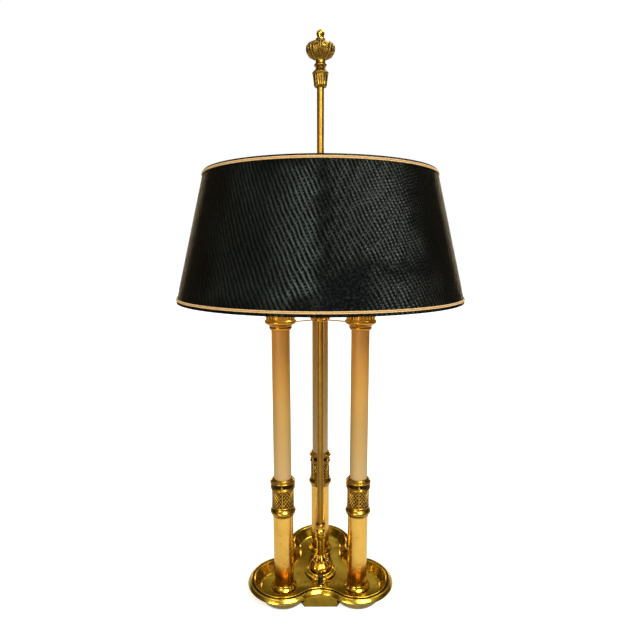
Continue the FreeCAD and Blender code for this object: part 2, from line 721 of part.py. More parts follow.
def shade_shell(name, outer_inset, inner_inset, trim_back):
    """A cone-shaped skin of the shade, cut back from both edges."""
    low = "shade_bottom + " + trim_back
    high = "shade_top - " + trim_back
    return turned(name, [
        (shade_radius(low, inner_inset), low),
        (shade_radius(low, outer_inset), low),
        (shade_radius(high, outer_inset), high),
        (shade_radius(high, inner_inset), high),
    ])


keep("shade_cover", shade_shell("shade_cover", "0", "cover_thickness", "0"))
keep("shade_liner", shade_shell("shade_liner", "cover_thickness + 0.05", "cover_thickness + 0.05 + liner_thickness",
                                "0.4"))


def wire_ring(name, height):
    """A round wire hoop that the liner is fixed to."""
    ring = doc.addObject("Part::Torus", name)
    reach = shade_radius(height, "cover_thickness + liner_thickness + 0.15 + ring_wire")
    ring.setExpression("Radius1", tied(reach))
    ring.setExpression("Radius2", tied("ring_wire"))
    return place(ring, z=height)


top_ring_height = "shade_top - 3"
keep("shade_top_ring", wire_ring("shade_top_ring", top_ring_height))
keep("shade_bottom_ring", wire_ring("shade_bottom_ring", "shade_bottom + 3"))


def trim(name, height):
    """A cord-like braid glued round the cover."""
    low = "%s - trim_width / 2" % height
    high = "%s + trim_width / 2" % height
    return turned(name, [
        (shade_radius(low, "-0.05"), low),
        (shade_radius(low, "-0.05 - trim_depth * 0.6"), low),
        (shade_radius(height, "-0.05 - trim_depth"), height),
        (shade_radius(high, "-0.05 - trim_depth * 0.6"), high),
        (shade_radius(high, "-0.05"), high),
    ])


keep("shade_trim_top", trim("shade_trim_top", "(shade_top - trim_top_inset)"))
keep("shade_trim_bottom", trim("shade_trim_bottom", "(shade_bottom + trim_bottom_inset)"))

hub_height = "shade_top - spider_drop"
spider_hub = tube("spider_ring", "collar_radius", "spider_hub_radius", hub_height + " - 1",
                  hub_height + " + 1")
ring_reach = shade_radius(top_ring_height, "cover_thickness + liner_thickness + 0.15 + 2.2 * ring_wire")
arm_foot_height = hub_height + " - 1 + ring_wire"
spider_arms = []
for side, angle in SIDES.items():
    near = FreeCAD.Vector(value("spider_hub_radius - 2"), 0, value(arm_foot_height))
    far = FreeCAD.Vector(value(ring_reach), 0, value(top_ring_height))
    lean = FreeCAD.Rotation(FreeCAD.Vector(0, 0, 1), far - near)
    foot = polar("(spider_hub_radius - 2)", angle)
    run = "%s - spider_hub_radius + 2" % ring_reach
    rise = "%s - (%s)" % (top_ring_height, arm_foot_height)
    spider_arms.append(cylinder("spider_arm_" + side, "ring_wire", "sqrt((%s) ^ 2 + (%s) ^ 2)" % (run, rise),
                                *foot, arm_foot_height, about_z(angle).multiply(lean)))
keep("shade_spider", fused("shade_spider", [spider_hub] + spider_arms))

# carrier: a collar that slides on the rod under the spider, and its thumb screw
collar_top = "(%s - 1 - running_gap)" % hub_height
carrier = turned("carrier_blank", [
    ("rod_radius + 0.08", collar_top + " - collar_height"),
    ("collar_radius", collar_top + " - collar_height"),
    ("collar_radius", collar_top + " - 3"),
    ("spider_hub_radius - 1", collar_top + " - 3"),
    ("spider_hub_radius - 1", collar_top),
    ("collar_radius - running_gap", collar_top),
    ("collar_radius - running_gap", collar_top + " + 5"),
    ("rod_radius + 0.08", collar_top + " + 5"),
])
thumb_height = collar_top + " - collar_height / 2 - 1"
screw_hole = cylinder("carrier_hole", "2.08", "collar_radius + 2", z=thumb_height, rotation=out_front)
keep("slide_collar", cut("slide_collar", carrier, [screw_hole]))
keep("thumb_screw", turned("thumb_screw", [
    ("0", "rod_radius + 0.15"),
    ("2", "rod_radius + 0.15"),
    ("2", "collar_radius + 0.6"),
    ("thumb_radius - 2", "collar_radius + 2.6"),
    ("thumb_radius - 0.6", "collar_radius + 4"),
    ("thumb_radius", "collar_radius + 4.6"),
    ("thumb_radius", "collar_radius + thumb_length - 6"),
    ("thumb_radius - 0.8", "collar_radius + thumb_length - 5"),
    ("0", "collar_radius + thumb_length - 5"),
], z=thumb_height, rotation=out_front))

# wires from the switch to each socket, through the pipes and under the ballast
bend = "4"
wires = []
for side, angle in SIDES.items():
    spot = polar("column_circle", angle)
    upright = cylinder("wire_up_" + side, "wire_radius", "%s + 5 - wire_height - %s" % (GALLERY_BASE, bend), *spot,
                       "wire_height + " + bend)
    inner = FreeCAD.Vector(0, value("-switch_place"), 0)
    corner = FreeCAD.Vector(value(spot[0]), value(spot[1]), 0)
    way = inner - corner
    heading = FreeCAD.Rotation(FreeCAD.Vector(1, 0, 0), way)
    quarter = doc.addObject("Part::Torus", "wire_bend_" + side)
    quarter.setExpression("Radius1", tied(bend))
    quarter.setExpression("Radius2", tied("wire_radius"))
    quarter.Angle3 = 90
    unit = way.normalize()
    stand = heading.multiply(FreeCAD.Rotation(FreeCAD.Vector(1, 0, 0), 90)).multiply(about_z(180))
    place(quarter, "%s + %s * %r" % (spot[0], bend, unit.x), "%s + %s * %r" % (spot[1], bend, unit.y),
          "wire_height + " + bend, stand)
    reach = "sqrt((%s) ^ 2 + (%s + switch_place) ^ 2) - %s - switch_radius - 0.1" % (spot[0], spot[1], bend)
    along = heading.multiply(FreeCAD.Rotation(FreeCAD.Vector(0, 1, 0), 90))
    level = cylinder("wire_level_" + side, "wire_radius", reach, "%s + %s * %r" % (spot[0], bend, unit.x),
                     "%s + %s * %r" % (spot[1], bend, unit.y), "wire_height", along)
    wires.append(fused("wire_" + side, [upright, quarter, level]))
keep("lamp_wires", group("lamp_wires", wires))

doc.recompute()

faults = []
for piece in doc.Objects:
    if {"Invalid", "Error"} & set(piece.State):
        faults.append("%s is %s" % (piece.Name, piece.State))
for name, piece in parts.items():
    if piece.Shape.isNull() or not piece.Shape.isValid() or not piece.Shape.Solids:
        faults.append(name + " has no valid solid")
if faults:
    raise SystemExit("\n".join(faults))

os.makedirs("parts", exist_ok=True)
for name, piece in parts.items():
    piece.Shape.exportStep("parts/%s.step" % name)
print(len(parts), "nodes")
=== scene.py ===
"""The looks of a three-candle bouillotte lamp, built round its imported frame."""

import json
import logging
import math
from collections.abc import Callable
from dataclasses import dataclass
from enum import Enum

import bmesh
import bpy
from mathutils import Euler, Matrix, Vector


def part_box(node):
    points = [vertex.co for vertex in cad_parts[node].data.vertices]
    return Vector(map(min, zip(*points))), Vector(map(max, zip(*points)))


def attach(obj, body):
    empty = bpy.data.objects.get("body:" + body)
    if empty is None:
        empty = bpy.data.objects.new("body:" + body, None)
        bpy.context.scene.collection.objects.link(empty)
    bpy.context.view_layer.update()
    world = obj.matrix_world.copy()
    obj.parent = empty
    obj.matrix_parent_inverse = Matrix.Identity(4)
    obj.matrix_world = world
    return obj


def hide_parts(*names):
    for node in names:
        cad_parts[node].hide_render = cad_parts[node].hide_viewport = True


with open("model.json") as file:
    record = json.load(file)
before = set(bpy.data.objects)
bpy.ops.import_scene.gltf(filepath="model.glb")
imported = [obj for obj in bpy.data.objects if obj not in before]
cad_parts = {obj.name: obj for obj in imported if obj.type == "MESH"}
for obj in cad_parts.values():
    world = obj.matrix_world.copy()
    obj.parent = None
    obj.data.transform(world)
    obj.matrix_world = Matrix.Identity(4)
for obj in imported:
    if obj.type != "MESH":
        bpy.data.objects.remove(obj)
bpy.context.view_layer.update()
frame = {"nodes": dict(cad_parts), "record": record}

LOG = logging.getLogger("bouillotte_lamp")
MM = 0.001
PER_METRE = 1000.0
WELD_COPY_MM = 0.002
WELD_TURNED_MM = 0.001
STRIP_SHARP_DEGREES = 60.0

Flat = tuple[float, float]
Place = tuple[float, float, float]
Span = tuple[float, float, float]
Strip = tuple[list[Place], list[float]]


class Side(Enum):
    """The three candle columns, by their angle round the rod from +X, in degrees."""

    LEFT = 210
    RIGHT = 330
    BACK = 90

    @property
    def word(self) -> str:
        """The side's name in the frame's nodes."""
        return self.name.lower()


class Body(Enum):
    """The bodies that pieces ride on."""

    STAND = "stand"
    SHADE = "shade"
    CARRIER = "carrier"
    CLAMP_SCREW = "clamp_screw"
    SWITCH = "switch"


class Finish(Enum):
    """The finishes: first the record's material slots, then four that take another's slot."""

    CAST_BRASS = "cast_brass"
    ANTIQUE_BRASS = "antique_brass"
    SPUN_BRASS = "spun_brass"
    SLEEVE_BRASS = "sleeve_brass"
    DRAWN_BRASS = "drawn_brass"
    SHADE_WIRE = "shade_wire"
    CANDLE_ENAMEL = "candle_enamel"
    LEATHERETTE = "leatherette"
    GOLD_BRAID = "gold_braid"
    ZINC_STEEL = "zinc_steel"
    CAST_IRON = "cast_iron"
    FELT = "felt"
    PHENOLIC = "phenolic"
    NICKEL = "nickel"
    BULB_GLASS = "bulb_glass"
    LINER_PAPER = "liner_paper"
    WIRE_SLEEVE = "wire_sleeve"
    TURNED_BRASS = "turned_brass"
    FINIAL_BRASS = "finial_brass"
    GROOVE_SHADE_BRASS = "groove_shade_brass"
    LATTICE_BRASS = "lattice_brass"


def linear(code: str) -> tuple[float, float, float, float]:
    """Turn an sRGB hex value to a linear colour.

    Args:
        code: Six hex digits after a hash sign.

    Returns:
        Red, green, blue and alpha, linear.
    """
    parts = [int(code[i:i + 2], 16) / 255 for i in (1, 3, 5)]
    return (*(p / 12.92 if p <= 0.04045 else ((p + 0.055) / 1.055) ** 2.4 for p in parts), 1.0)


def add(tree: bpy.types.NodeTree, kind: str, inputs: dict[str | int, object] | None = None,
        stops: tuple[tuple[float, str], ...] = (), **settings: object) -> bpy.types.Node:
    """Add a node with its settings, its inputs and, on a colour ramp, its stops.

    Args:
        tree: The tree that takes the node.
        kind: The node's type name.
        inputs: Input name or number to a value, a hex colour, a socket, or a node, for its first output.
        stops: Places from 0 to 1 on a colour ramp, each with a hex colour.
        **settings: Properties of the node itself.

    Returns:
        The new node.
    """
    node = tree.nodes.new(kind)
    for key, setting in settings.items():
        setattr(node, key, setting)
    for key, source in (inputs or {}).items():
        if isinstance(source, bpy.types.Node):
            source = source.outputs[0]
        if isinstance(source, bpy.types.NodeSocket):
            tree.links.new(source, node.inputs[key])
        else:
            node.inputs[key].default_value = linear(source) if isinstance(source, str) else source
    if stops:
        elements = node.color_ramp.elements
        while len(elements) < len(stops):
            elements.new(0.5)
        for element, (place, code) in zip(elements, stops):
            element.position = place
            element.color = linear(code)
    return node


def begin(name: str) -> tuple[bpy.types.Material, bpy.types.NodeTree, bpy.types.NodeSocket]:
    """Start a material.

    Args:
        name: The material's name.

    Returns:
        The material, its empty tree and the object coordinates in it.
    """
    material = bpy.data.materials.new(name)
    material.use_nodes = True
    tree = material.node_tree
    tree.nodes.clear()
    return material, tree, add(tree, "ShaderNodeTexCoord").outputs["Object"]


@dataclass(frozen=True)
class Brass:
    """Brass, lacquered or worn by handling: a warm mirror, dulled in blots and specks, with painted shade in
    its hollows.

    Widths in millimetres are those of real tarnish and form: blots, specks and the slow waves of a casting.
    They also set how far the painted shade reaches into the hollows, and the band over which a foot is
    painted darker.
    """

    bright: str
    dull: str
    dark: str
    tarnish: float = 0.35
    rough: float = 0.2
    blot_mm: float = 14.0
    speck_mm: float = 2.2
    touch_mm: float = 5.0
    crease_mm: float = 3.0
    crease: float = 0.8
    drawn: bool = False
    line_mm: float = 0.9
    line_stretch: float = 0.03
    grain_mm: float = 2.4
    grain_depth_mm: float = 0.05
    bump: float = 0.35
    wave_mm: float = 0.0
    wave_width_mm: float = 16.0
    foot_mm: float = 0.0
    foot_fade_mm: float = 9.0
    foot_share: float = 0.8

    def colour(self, tree: bpy.types.NodeTree, where: bpy.types.NodeSocket,
               blots: bpy.types.Node, cover: bpy.types.Node) -> bpy.types.NodeSocket:
        """Lay tarnish, painted shade in the hollows and a darker foot over the clean metal's colour.

        Args:
            tree: The material's tree.
            where: The object coordinates.
            blots: The noise that the blots follow.
            cover: How much of the dull colour lies at each place.

        Returns:
            The colour's socket.
        """
        mixed = add(tree, "ShaderNodeMix", {0: cover, 6: self.bright, 7: self.dull},
                    data_type="RGBA").outputs[2]
        fine = add(tree, "ShaderNodeTexNoise", {"Vector": where, "Scale": PER_METRE / self.speck_mm,
                                                "Detail": 5.0, "Distortion": 0.4})
        specks = add(tree, "ShaderNodeMath", {0: blots, 1: 0.35, 2: fine}, operation="MULTIPLY_ADD")
        speck = add(tree, "ShaderNodeMapRange", {0: specks, 1: 0.78, 2: 0.86, 4: self.tarnish * 1.4})
        # Painted shade: ambient occlusion darkens the metal in its hollows.
        hollow = add(tree, "ShaderNodeAmbientOcclusion", {"Distance": self.crease_mm * MM}, samples=8)
        crease = add(tree, "ShaderNodeMapRange", {0: hollow.outputs["AO"], 1: 0.82, 2: 0.35, 4: self.crease})
        layers = [speck, crease]
        # A band that is darker towards the foot; on the sleeves it is painted shade and reflection.
        if self.foot_mm:
            up = add(tree, "ShaderNodeSeparateXYZ", {0: where}).outputs[2]
            level = add(tree, "ShaderNodeMath", {0: blots, 1: 0.012, 2: up}, operation="MULTIPLY_ADD")
            band = {0: level, 1: (self.foot_mm + self.foot_fade_mm) * MM, 2: self.foot_mm * MM,
                    4: self.foot_share}
            layers.append(add(tree, "ShaderNodeMapRange", band))
        for layer in layers:
            mixed = add(tree, "ShaderNodeMix", {0: layer, 6: mixed, 7: self.dark},
                        data_type="RGBA").outputs[2]
        return mixed

    def build(self, name: str) -> bpy.types.Material:
        """Make the material.

        Args:
            name: The material's name.

        Returns:
            The new material.
        """
        material, tree, where = begin(name)
        blots = add(tree, "ShaderNodeTexNoise", {"Vector": where, "Scale": PER_METRE / self.blot_mm,
                                                 "Detail": 5.0, "Distortion": 0.6})
        cover = add(tree, "ShaderNodeMapRange", {0: blots, 1: 0.42, 2: 0.72, 4: self.tarnish})
        touched = add(tree, "ShaderNodeTexNoise", {"Vector": where, "Scale": PER_METRE / self.touch_mm,
                                                   "Detail": 4.0})
        gloss = add(tree, "ShaderNodeMapRange", {0: touched, 3: self.rough * 0.7, 4: self.rough * 1.5})
        gloss = add(tree, "ShaderNodeMath", {0: cover, 1: 0.16, 2: gloss}, operation="MULTIPLY_ADD")
        along, grain_mm = where, self.grain_mm
        if self.drawn:
            # Real drawing lines are hair-fine. They are wider here, so that they show.
            along = add(tree, "ShaderNodeMapping", {"Vector": where, "Scale": (1, 1, self.line_stretch)})
            grain_mm = self.line_mm
        height = add(tree, "ShaderNodeTexNoise",
                     {"Vector": along, "Scale": PER_METRE / grain_mm, "Detail": 4.0})
        if self.wave_mm:
            waves = add(tree, "ShaderNodeTexNoise", {"Vector": where,
                                                     "Scale": PER_METRE / self.wave_width_mm})
            height = add(tree, "ShaderNodeMath", {0: waves, 1: self.wave_mm / self.grain_depth_mm, 2: height},
                         operation="MULTIPLY_ADD")
        bump = add(tree, "ShaderNodeBump", {"Height": height, "Strength": self.bump,
                                            "Distance": self.grain_depth_mm * MM})
        shader = add(tree, "ShaderNodeBsdfPrincipled", {
            "Base Color": self.colour(tree, where, blots, cover), "Metallic": 1.0, "Roughness": gloss,
            "Normal": bump})
        add(tree, "ShaderNodeOutputMaterial", {"Surface": shader})
        return material


@dataclass(frozen=True)
class CandleEnamel:
    """Ivory enamel dipped on steel tube: cream low down, turning amber towards the top by painted shade and
    brass reflection under the lampshade, with faint long drips.
    """

    cream_to: float = 0.2
    amber_from: float = 0.425
    waver_mm: float = 30.0
    drip_mm: float = 3.5
    drip_depth_mm: float = 0.06

    def build(self, name: str) -> bpy.types.Material:
        """Make the material.

        Args:
            name: The material's name.

        Returns:
            The new material.
        """
        material, tree, where = begin(name)
        up = add(tree, "ShaderNodeSeparateXYZ", {0: where}).outputs[2]
        # Painted shade and brass reflection: the colour turns darker amber towards the top, under the
        # lampshade.
        rise = add(tree, "ShaderNodeMapRange", {0: up, 1: self.cream_to, 2: self.amber_from})
        cloud = add(tree, "ShaderNodeTexNoise", {"Vector": where, "Scale": PER_METRE / self.waver_mm})
        waver = add(tree, "ShaderNodeMath", {0: cloud, 1: 0.12, 2: -0.06}, operation="MULTIPLY_ADD")
        warmth = add(tree, "ShaderNodeMath", {0: rise, 1: waver}, operation="ADD")
        painted_shade_tone = add(tree, "ShaderNodeValToRGB", {0: warmth},
                    ((0.0, "#A58654"), (0.35, "#9D7A3C"), (0.7, "#A8761F"), (1.0, "#B07209")))
        tall = add(tree, "ShaderNodeMapping", {"Vector": where, "Scale": (1, 1, 0.04)})
        drips = add(tree, "ShaderNodeTexNoise",
                    {"Vector": tall, "Scale": PER_METRE / self.drip_mm, "Detail": 3.0})
        stain = add(tree, "ShaderNodeMapRange", {0: drips, 1: 0.5, 2: 0.85, 4: 0.28})
        colour = add(tree, "ShaderNodeMix", {0: stain, 6: painted_shade_tone, 7: "#A87B3A"}, data_type="RGBA").outputs[2]
        bump = add(tree, "ShaderNodeBump",
                   {"Height": drips, "Strength": 0.5, "Distance": self.drip_depth_mm * MM})
        shader = add(tree, "ShaderNodeBsdfPrincipled", {
            "Base Color": colour, "Roughness": 0.38, "Coat Weight": 0.25, "Coat Roughness": 0.2,
            "Normal": bump})
        add(tree, "ShaderNodeOutputMaterial", {"Surface": shader})
        return material


@dataclass(frozen=True)
class Leatherette:
    """Black vinyl, embossed between rollers as reptile skin: steep ridges, a woven grid and fine grain.

    It is black, painted lighter grey-green along the crests as a painted highlight, with a painted sheen that
    is strongest across the front. Places on the skin are real distances in millimetres: round the shade from
    its front, and up from its lower edge. A span is where a part starts and ends, and how soft its edges are.
    """

    radius_mm: float = 182.0
    bottom_mm: float = 464.5
    ridge_mm: float = 5.2
    grid_mm: float = 4.4
    cell_mm: float = 2.6
    repeat_mm: float = 381.0
    emboss_mm: float = 1.7
    steep_round: Span = (-140, 6, 22)
    steep_up: Span = (4, 172, 20)
    upper_grid_round: Span = (0, 128, 20)
    upper_grid_up: Span = (46, 190, 26)
    lower_grid_round: Span = (40, 150, 24)
    lower_grid_up: Span = (-20, 52, 24)
    # Where the painted sheen is strongest, round the front.
    sheen_round: Span = (-42, 104, 26)

    def cloud(self, tree: bpy.types.NodeTree, skin: bpy.types.Node, size_mm: float, shift: float,
              detail: float = 2.0) -> bpy.types.Node:
        """Make a soft pattern on the skin, about zero.

        Args:
            tree: The material's tree.
            skin: The places on the skin.
            size_mm: How wide its patches are.
            shift: How far it is moved, so that no two clouds agree.
            detail: Finer layers.

        Returns:
            The pattern.
        """
        moved = add(tree, "ShaderNodeVectorMath", {0: skin, 1: (shift, shift, 0)})
        made = add(tree, "ShaderNodeTexNoise", {"Vector": moved, "Scale": 1 / size_mm, "Detail": detail})
        return add(tree, "ShaderNodeMath", {0: made, 1: 0.5}, operation="SUBTRACT")

    def ridges(self, tree: bpy.types.NodeTree, skin: bpy.types.Node, lean_degrees: float, pitch_mm: float,
               waver_mm: float, shift: float) -> bpy.types.Node:
        """Make rounded ridges with sharp valleys, in wavering lines.

        Args:
            tree: The material's tree.
            skin: The places on the skin.
            lean_degrees: How far the lines lean from the upright.
            pitch_mm: From one ridge to the next.
            waver_mm: How far the lines stray.
            shift: Where the straying starts.

        Returns:
            The height, from 0 in a valley to 1 on a crest.
        """
        axes = add(tree, "ShaderNodeSeparateXYZ", {0: skin}).outputs
        lean = math.radians(lean_degrees)
        rise = add(tree, "ShaderNodeMath", {0: axes[1], 1: math.sin(lean)}, operation="MULTIPLY")
        line = add(tree, "ShaderNodeMath", {0: axes[0], 1: math.cos(lean), 2: rise}, operation="MULTIPLY_ADD")
        for size_mm, start, detail, share in ((46, shift, 2.0, 1.0), (9, shift + 40, 3.0, 0.22)):
            stray = self.cloud(tree, skin, size_mm, start, detail)
            line = add(tree, "ShaderNodeMath", {0: stray, 1: waver_mm * share, 2: line},
                       operation="MULTIPLY_ADD")
        phase = add(tree, "ShaderNodeMath", {0: line, 1: math.pi / pitch_mm}, operation="MULTIPLY")
        wave = add(tree, "ShaderNodeMath", {0: phase}, operation="SINE")
        crest = add(tree, "ShaderNodeMath", {0: wave}, operation="ABSOLUTE")
        return add(tree, "ShaderNodeMath", {0: crest, 1: 1.4}, operation="POWER")

    def patch(self, tree: bpy.types.NodeTree, *ways: tuple[bpy.types.Node, Span]) -> bpy.types.Node:
        """Mark a soft-edged part of the skin.

        Args:
            tree: The material's tree.
            *ways: For each direction, the place on the skin and the part's span.

        Returns:
            1 inside the part and 0 outside.
        """
        edges = []
        for place, (low, high, soft) in ways:
            for edge, before, after in ((low, 0.0, 1.0), (high, 1.0, 0.0)):
                step = {0: place, 1: edge - soft, 2: edge + soft, 3: before, 4: after}
                edges.append(add(tree, "ShaderNodeMapRange", step, interpolation_type="SMOOTHSTEP"))
        inside = edges[0]
        for edge in edges[1:]:
            inside = add(tree, "ShaderNodeMath", {0: inside, 1: edge}, operation="MULTIPLY")
        return inside

    def grain(self, tree: bpy.types.NodeTree, skin: bpy.types.Node) -> bpy.types.Node:
        """Make the fine pebbled grain that lies all over.

        Args:
            tree: The material's tree.
            skin: The places on the skin.

        Returns:
            The grain's height.
        """
        cells = add(tree, "ShaderNodeTexVoronoi",
                    {"Vector": skin, "Scale": 1 / self.cell_mm, "Randomness": 0.9},
                    feature="DISTANCE_TO_EDGE")
        domes = add(tree, "ShaderNodeMath", {0: cells, 1: 3.0}, operation="MULTIPLY")
        pebbles = add(tree, "ShaderNodeMath", {0: domes, 1: 1.0}, operation="MINIMUM")
        worn = add(tree, "ShaderNodeMath", {0: self.cloud(tree, skin, 5, 20, 4.0), 1: 0.5}, operation="ADD")
        crackle = add(tree, "ShaderNodeMath", {0: pebbles, 1: worn}, operation="MULTIPLY")
        fine = add(tree, "ShaderNodeMath", {0: self.cloud(tree, skin, 1.4, 55, 4.0), 1: 0.35, 2: 0.2},
                   operation="MULTIPLY_ADD")
        return add(tree, "ShaderNodeMath", {0: crackle, 1: 0.5, 2: fine}, operation="MULTIPLY_ADD")

    def build(self, name: str) -> bpy.types.Material:
        """Make the material.

        Args:
            name: The material's name.

        Returns:
            The new material.
        """
        material, tree, where = begin(name)
        axes = add(tree, "ShaderNodeSeparateXYZ", {0: where}).outputs
        back = add(tree, "ShaderNodeMath", {0: axes[1], 1: -1.0}, operation="MULTIPLY")
        angle = add(tree, "ShaderNodeMath", {0: axes[0], 1: back}, operation="ARCTAN2")
        round_mm = add(tree, "ShaderNodeMath", {0: angle, 1: self.radius_mm}, operation="MULTIPLY")
        up_mm = add(tree, "ShaderNodeMath", {0: axes[2], 1: PER_METRE, 2: -self.bottom_mm},
                    operation="MULTIPLY_ADD")
        skin = add(tree, "ShaderNodeCombineXYZ", {0: round_mm, 1: up_mm})

        turn = add(tree, "ShaderNodeMath", {0: round_mm, 1: self.repeat_mm / 2, 2: -self.repeat_mm / 2},
                   operation="WRAP")
        place = add(tree, "ShaderNodeMath", {0: self.cloud(tree, skin, 34, 7, 4.0), 1: 55.0, 2: turn},
                    operation="MULTIPLY_ADD")
        height = add(tree, "ShaderNodeMath", {0: self.cloud(tree, skin, 30, 90, 4.0), 1: 60.0, 2: up_mm},
                     operation="MULTIPLY_ADD")
        steep_here = self.patch(tree, (place, self.steep_round), (height, self.steep_up))
        upper_grid = self.patch(tree, (place, self.upper_grid_round), (height, self.upper_grid_up))
        lower_grid = self.patch(tree, (place, self.lower_grid_round), (height, self.lower_grid_up))
        grid_here = add(tree, "ShaderNodeMath", {0: upper_grid, 1: lower_grid}, operation="MAXIMUM")

        steep = self.ridges(tree, skin, 27, self.ridge_mm, 7, 3)
        warp = self.ridges(tree, skin, 14, self.grid_mm, 12, 30)
        weft = self.ridges(tree, skin, 101, self.grid_mm * 0.85, 14, 60)
        grid = add(tree, "ShaderNodeMath", {0: warp, 1: weft}, operation="MULTIPLY")
        pressed = add(tree, "ShaderNodeMath", {0: steep_here, 1: 0.75}, operation="MULTIPLY")
        made = add(tree, "ShaderNodeMath", {0: steep, 1: pressed, 2: self.grain(tree, skin)},
                   operation="MULTIPLY_ADD")
        made = add(tree, "ShaderNodeMath", {0: grid, 1: grid_here, 2: made}, operation="MULTIPLY_ADD")
        bump = add(tree, "ShaderNodeBump", {"Height": made, "Strength": 1.0, "Distance": self.emboss_mm * MM})

        shown = add(tree, "ShaderNodeMath", {0: steep_here, 1: grid_here}, operation="MAXIMUM")
        higher = add(tree, "ShaderNodeMath", {0: steep, 1: grid}, operation="MAXIMUM")
        crest = add(tree, "ShaderNodeMath", {0: higher, 1: shown}, operation="MULTIPLY")
        shading = add(tree, "ShaderNodeMath", {0: self.cloud(tree, skin, 60, 15, 3.0), 1: 0.3},
                      operation="ADD")
        # The crests are painted lighter grey-green: a painted highlight.
        tone = add(tree, "ShaderNodeMath", {0: crest, 1: 0.5, 2: shading}, operation="MULTIPLY_ADD")
        colour = add(tree, "ShaderNodeValToRGB", {0: tone},
                     ((0.0, "#020303"), (0.45, "#050606"), (0.8, "#0B0E0D"), (1.0, "#131918")))
        matt = add(tree, "ShaderNodeMath", {0: self.cloud(tree, skin, 18, 33, 4.0), 1: 0.1, 2: 0.42},
                   operation="MULTIPLY_ADD")
        gloss = add(tree, "ShaderNodeMath", {0: crest, 1: -0.1, 2: matt}, operation="MULTIPLY_ADD")

        # Painted sheen: the crests are made more specular, most of all across the front, with fine flecks
        # there.
        front = self.patch(tree, (place, self.sheen_round))
        front_sheen = add(tree, "ShaderNodeMath", {0: front, 1: 0.55, 2: 0.07}, operation="MULTIPLY_ADD")
        edge = add(tree, "ShaderNodeMath", {0: crest, 1: 4.0}, operation="POWER")
        painted_sheen = add(tree, "ShaderNodeMath", {0: edge, 1: front_sheen, 2: 0.02}, operation="MULTIPLY_ADD")
        sheen_flecks = add(tree, "ShaderNodeMath", {0: self.cloud(tree, skin, 3, 71, 4.0), 1: 0.0},
                     operation="MAXIMUM")
        painted_sheen = add(tree, "ShaderNodeMath", {0: sheen_flecks, 1: front_sheen, 2: painted_sheen}, operation="MULTIPLY_ADD")
        shader = add(tree, "ShaderNodeBsdfPrincipled", {
            "Base Color": colour, "Roughness": gloss, "Specular IOR Level": painted_sheen, "Normal": bump,
            "Specular Tint": "#EDFFFA", "Sheen Weight": 0.02, "Sheen Roughness": 0.35,
            "Sheen Tint": "#C9A96A"})
        add(tree, "ShaderNodeOutputMaterial", {"Surface": shader})
        return material


@dataclass(frozen=True)
class Mottled:
    """A plain stuff with a fine mottled grain: plastic, steel, iron, felt, glass or paper."""

    low: str
    high: str
    rough: float
    grain_mm: float = 1.5
    depth_mm: float = 0.05
    metallic: float = 0.0
    sheen: float = 0.0
    see_through: float = 0.0

    def build(self, name: str) -> bpy.types.Material:
        """Make the material.

        Args:
            name: The material's name.

        Returns:
            The new material.
        """
        material, tree, where = begin(name)
        mottle = add(tree, "ShaderNodeTexNoise",
                     {"Vector": where, "Scale": PER_METRE / self.grain_mm, "Detail": 4.0})
        colour = add(tree, "ShaderNodeValToRGB", {0: mottle}, ((0.3, self.low), (0.7, self.high)))
        gloss = add(tree, "ShaderNodeMapRange", {0: mottle, 3: self.rough * 0.85, 4: self.rough * 1.15})
        bump = add(tree, "ShaderNodeBump",
                   {"Height": mottle, "Strength": 0.6, "Distance": self.depth_mm * MM})
        shader = add(tree, "ShaderNodeBsdfPrincipled", {
            "Base Color": colour, "Roughness": gloss, "Metallic": self.metallic, "Sheen Weight": self.sheen,
            "Transmission Weight": self.see_through, "Normal": bump})
        add(tree, "ShaderNodeOutputMaterial", {"Surface": shader})
        return material


@dataclass(frozen=True)
class GoldCord:
    """Gold rayon thread, twisted in two plies: a soft sheen, with painted shade darkening the lay between the
    plies.

    Single threads are finer than a pixel, so they are 0.7 mm wide here.
    """

    thread_mm: float = 0.7
    thread_depth_mm: float = 0.2
    lay_mm: float = 1.2

    def build(self, name: str) -> bpy.types.Material:
        """Make the material.

        Args:
            name: The material's name.

        Returns:
            The new material.
        """
        material, tree, where = begin(name)
        along = add(tree, "ShaderNodeMapping", {"Vector": where, "Scale": (1, 1, 2.2)})
        threads = add(tree, "ShaderNodeTexNoise", {"Vector": along, "Scale": PER_METRE / self.thread_mm,
                                                   "Detail": 3.0})
        gold = add(tree, "ShaderNodeValToRGB", {0: threads},
                   ((0.3, "#8F6A35"), (0.5, "#C99F62"), (0.75, "#EBCB92")))
        # Painted shade: ambient occlusion darkens the lay between the plies.
        hollow = add(tree, "ShaderNodeAmbientOcclusion", {"Distance": self.lay_mm * MM}, samples=8)
        lay = add(tree, "ShaderNodeMapRange", {0: hollow.outputs["AO"], 1: 0.6, 2: 0.15, 4: 0.85})
        colour = add(tree, "ShaderNodeMix", {0: lay, 6: gold, 7: "#4A3214"}, data_type="RGBA").outputs[2]
        bump = add(tree, "ShaderNodeBump", {"Height": threads, "Strength": 0.5,
                                            "Distance": self.thread_depth_mm * MM})
        shader = add(tree, "ShaderNodeBsdfPrincipled", {
            "Base Color": colour, "Roughness": 0.5, "Metallic": 0.25, "Sheen Weight": 0.3, "Normal": bump})
        add(tree, "ShaderNodeOutputMaterial", {"Surface": shader})
        return material


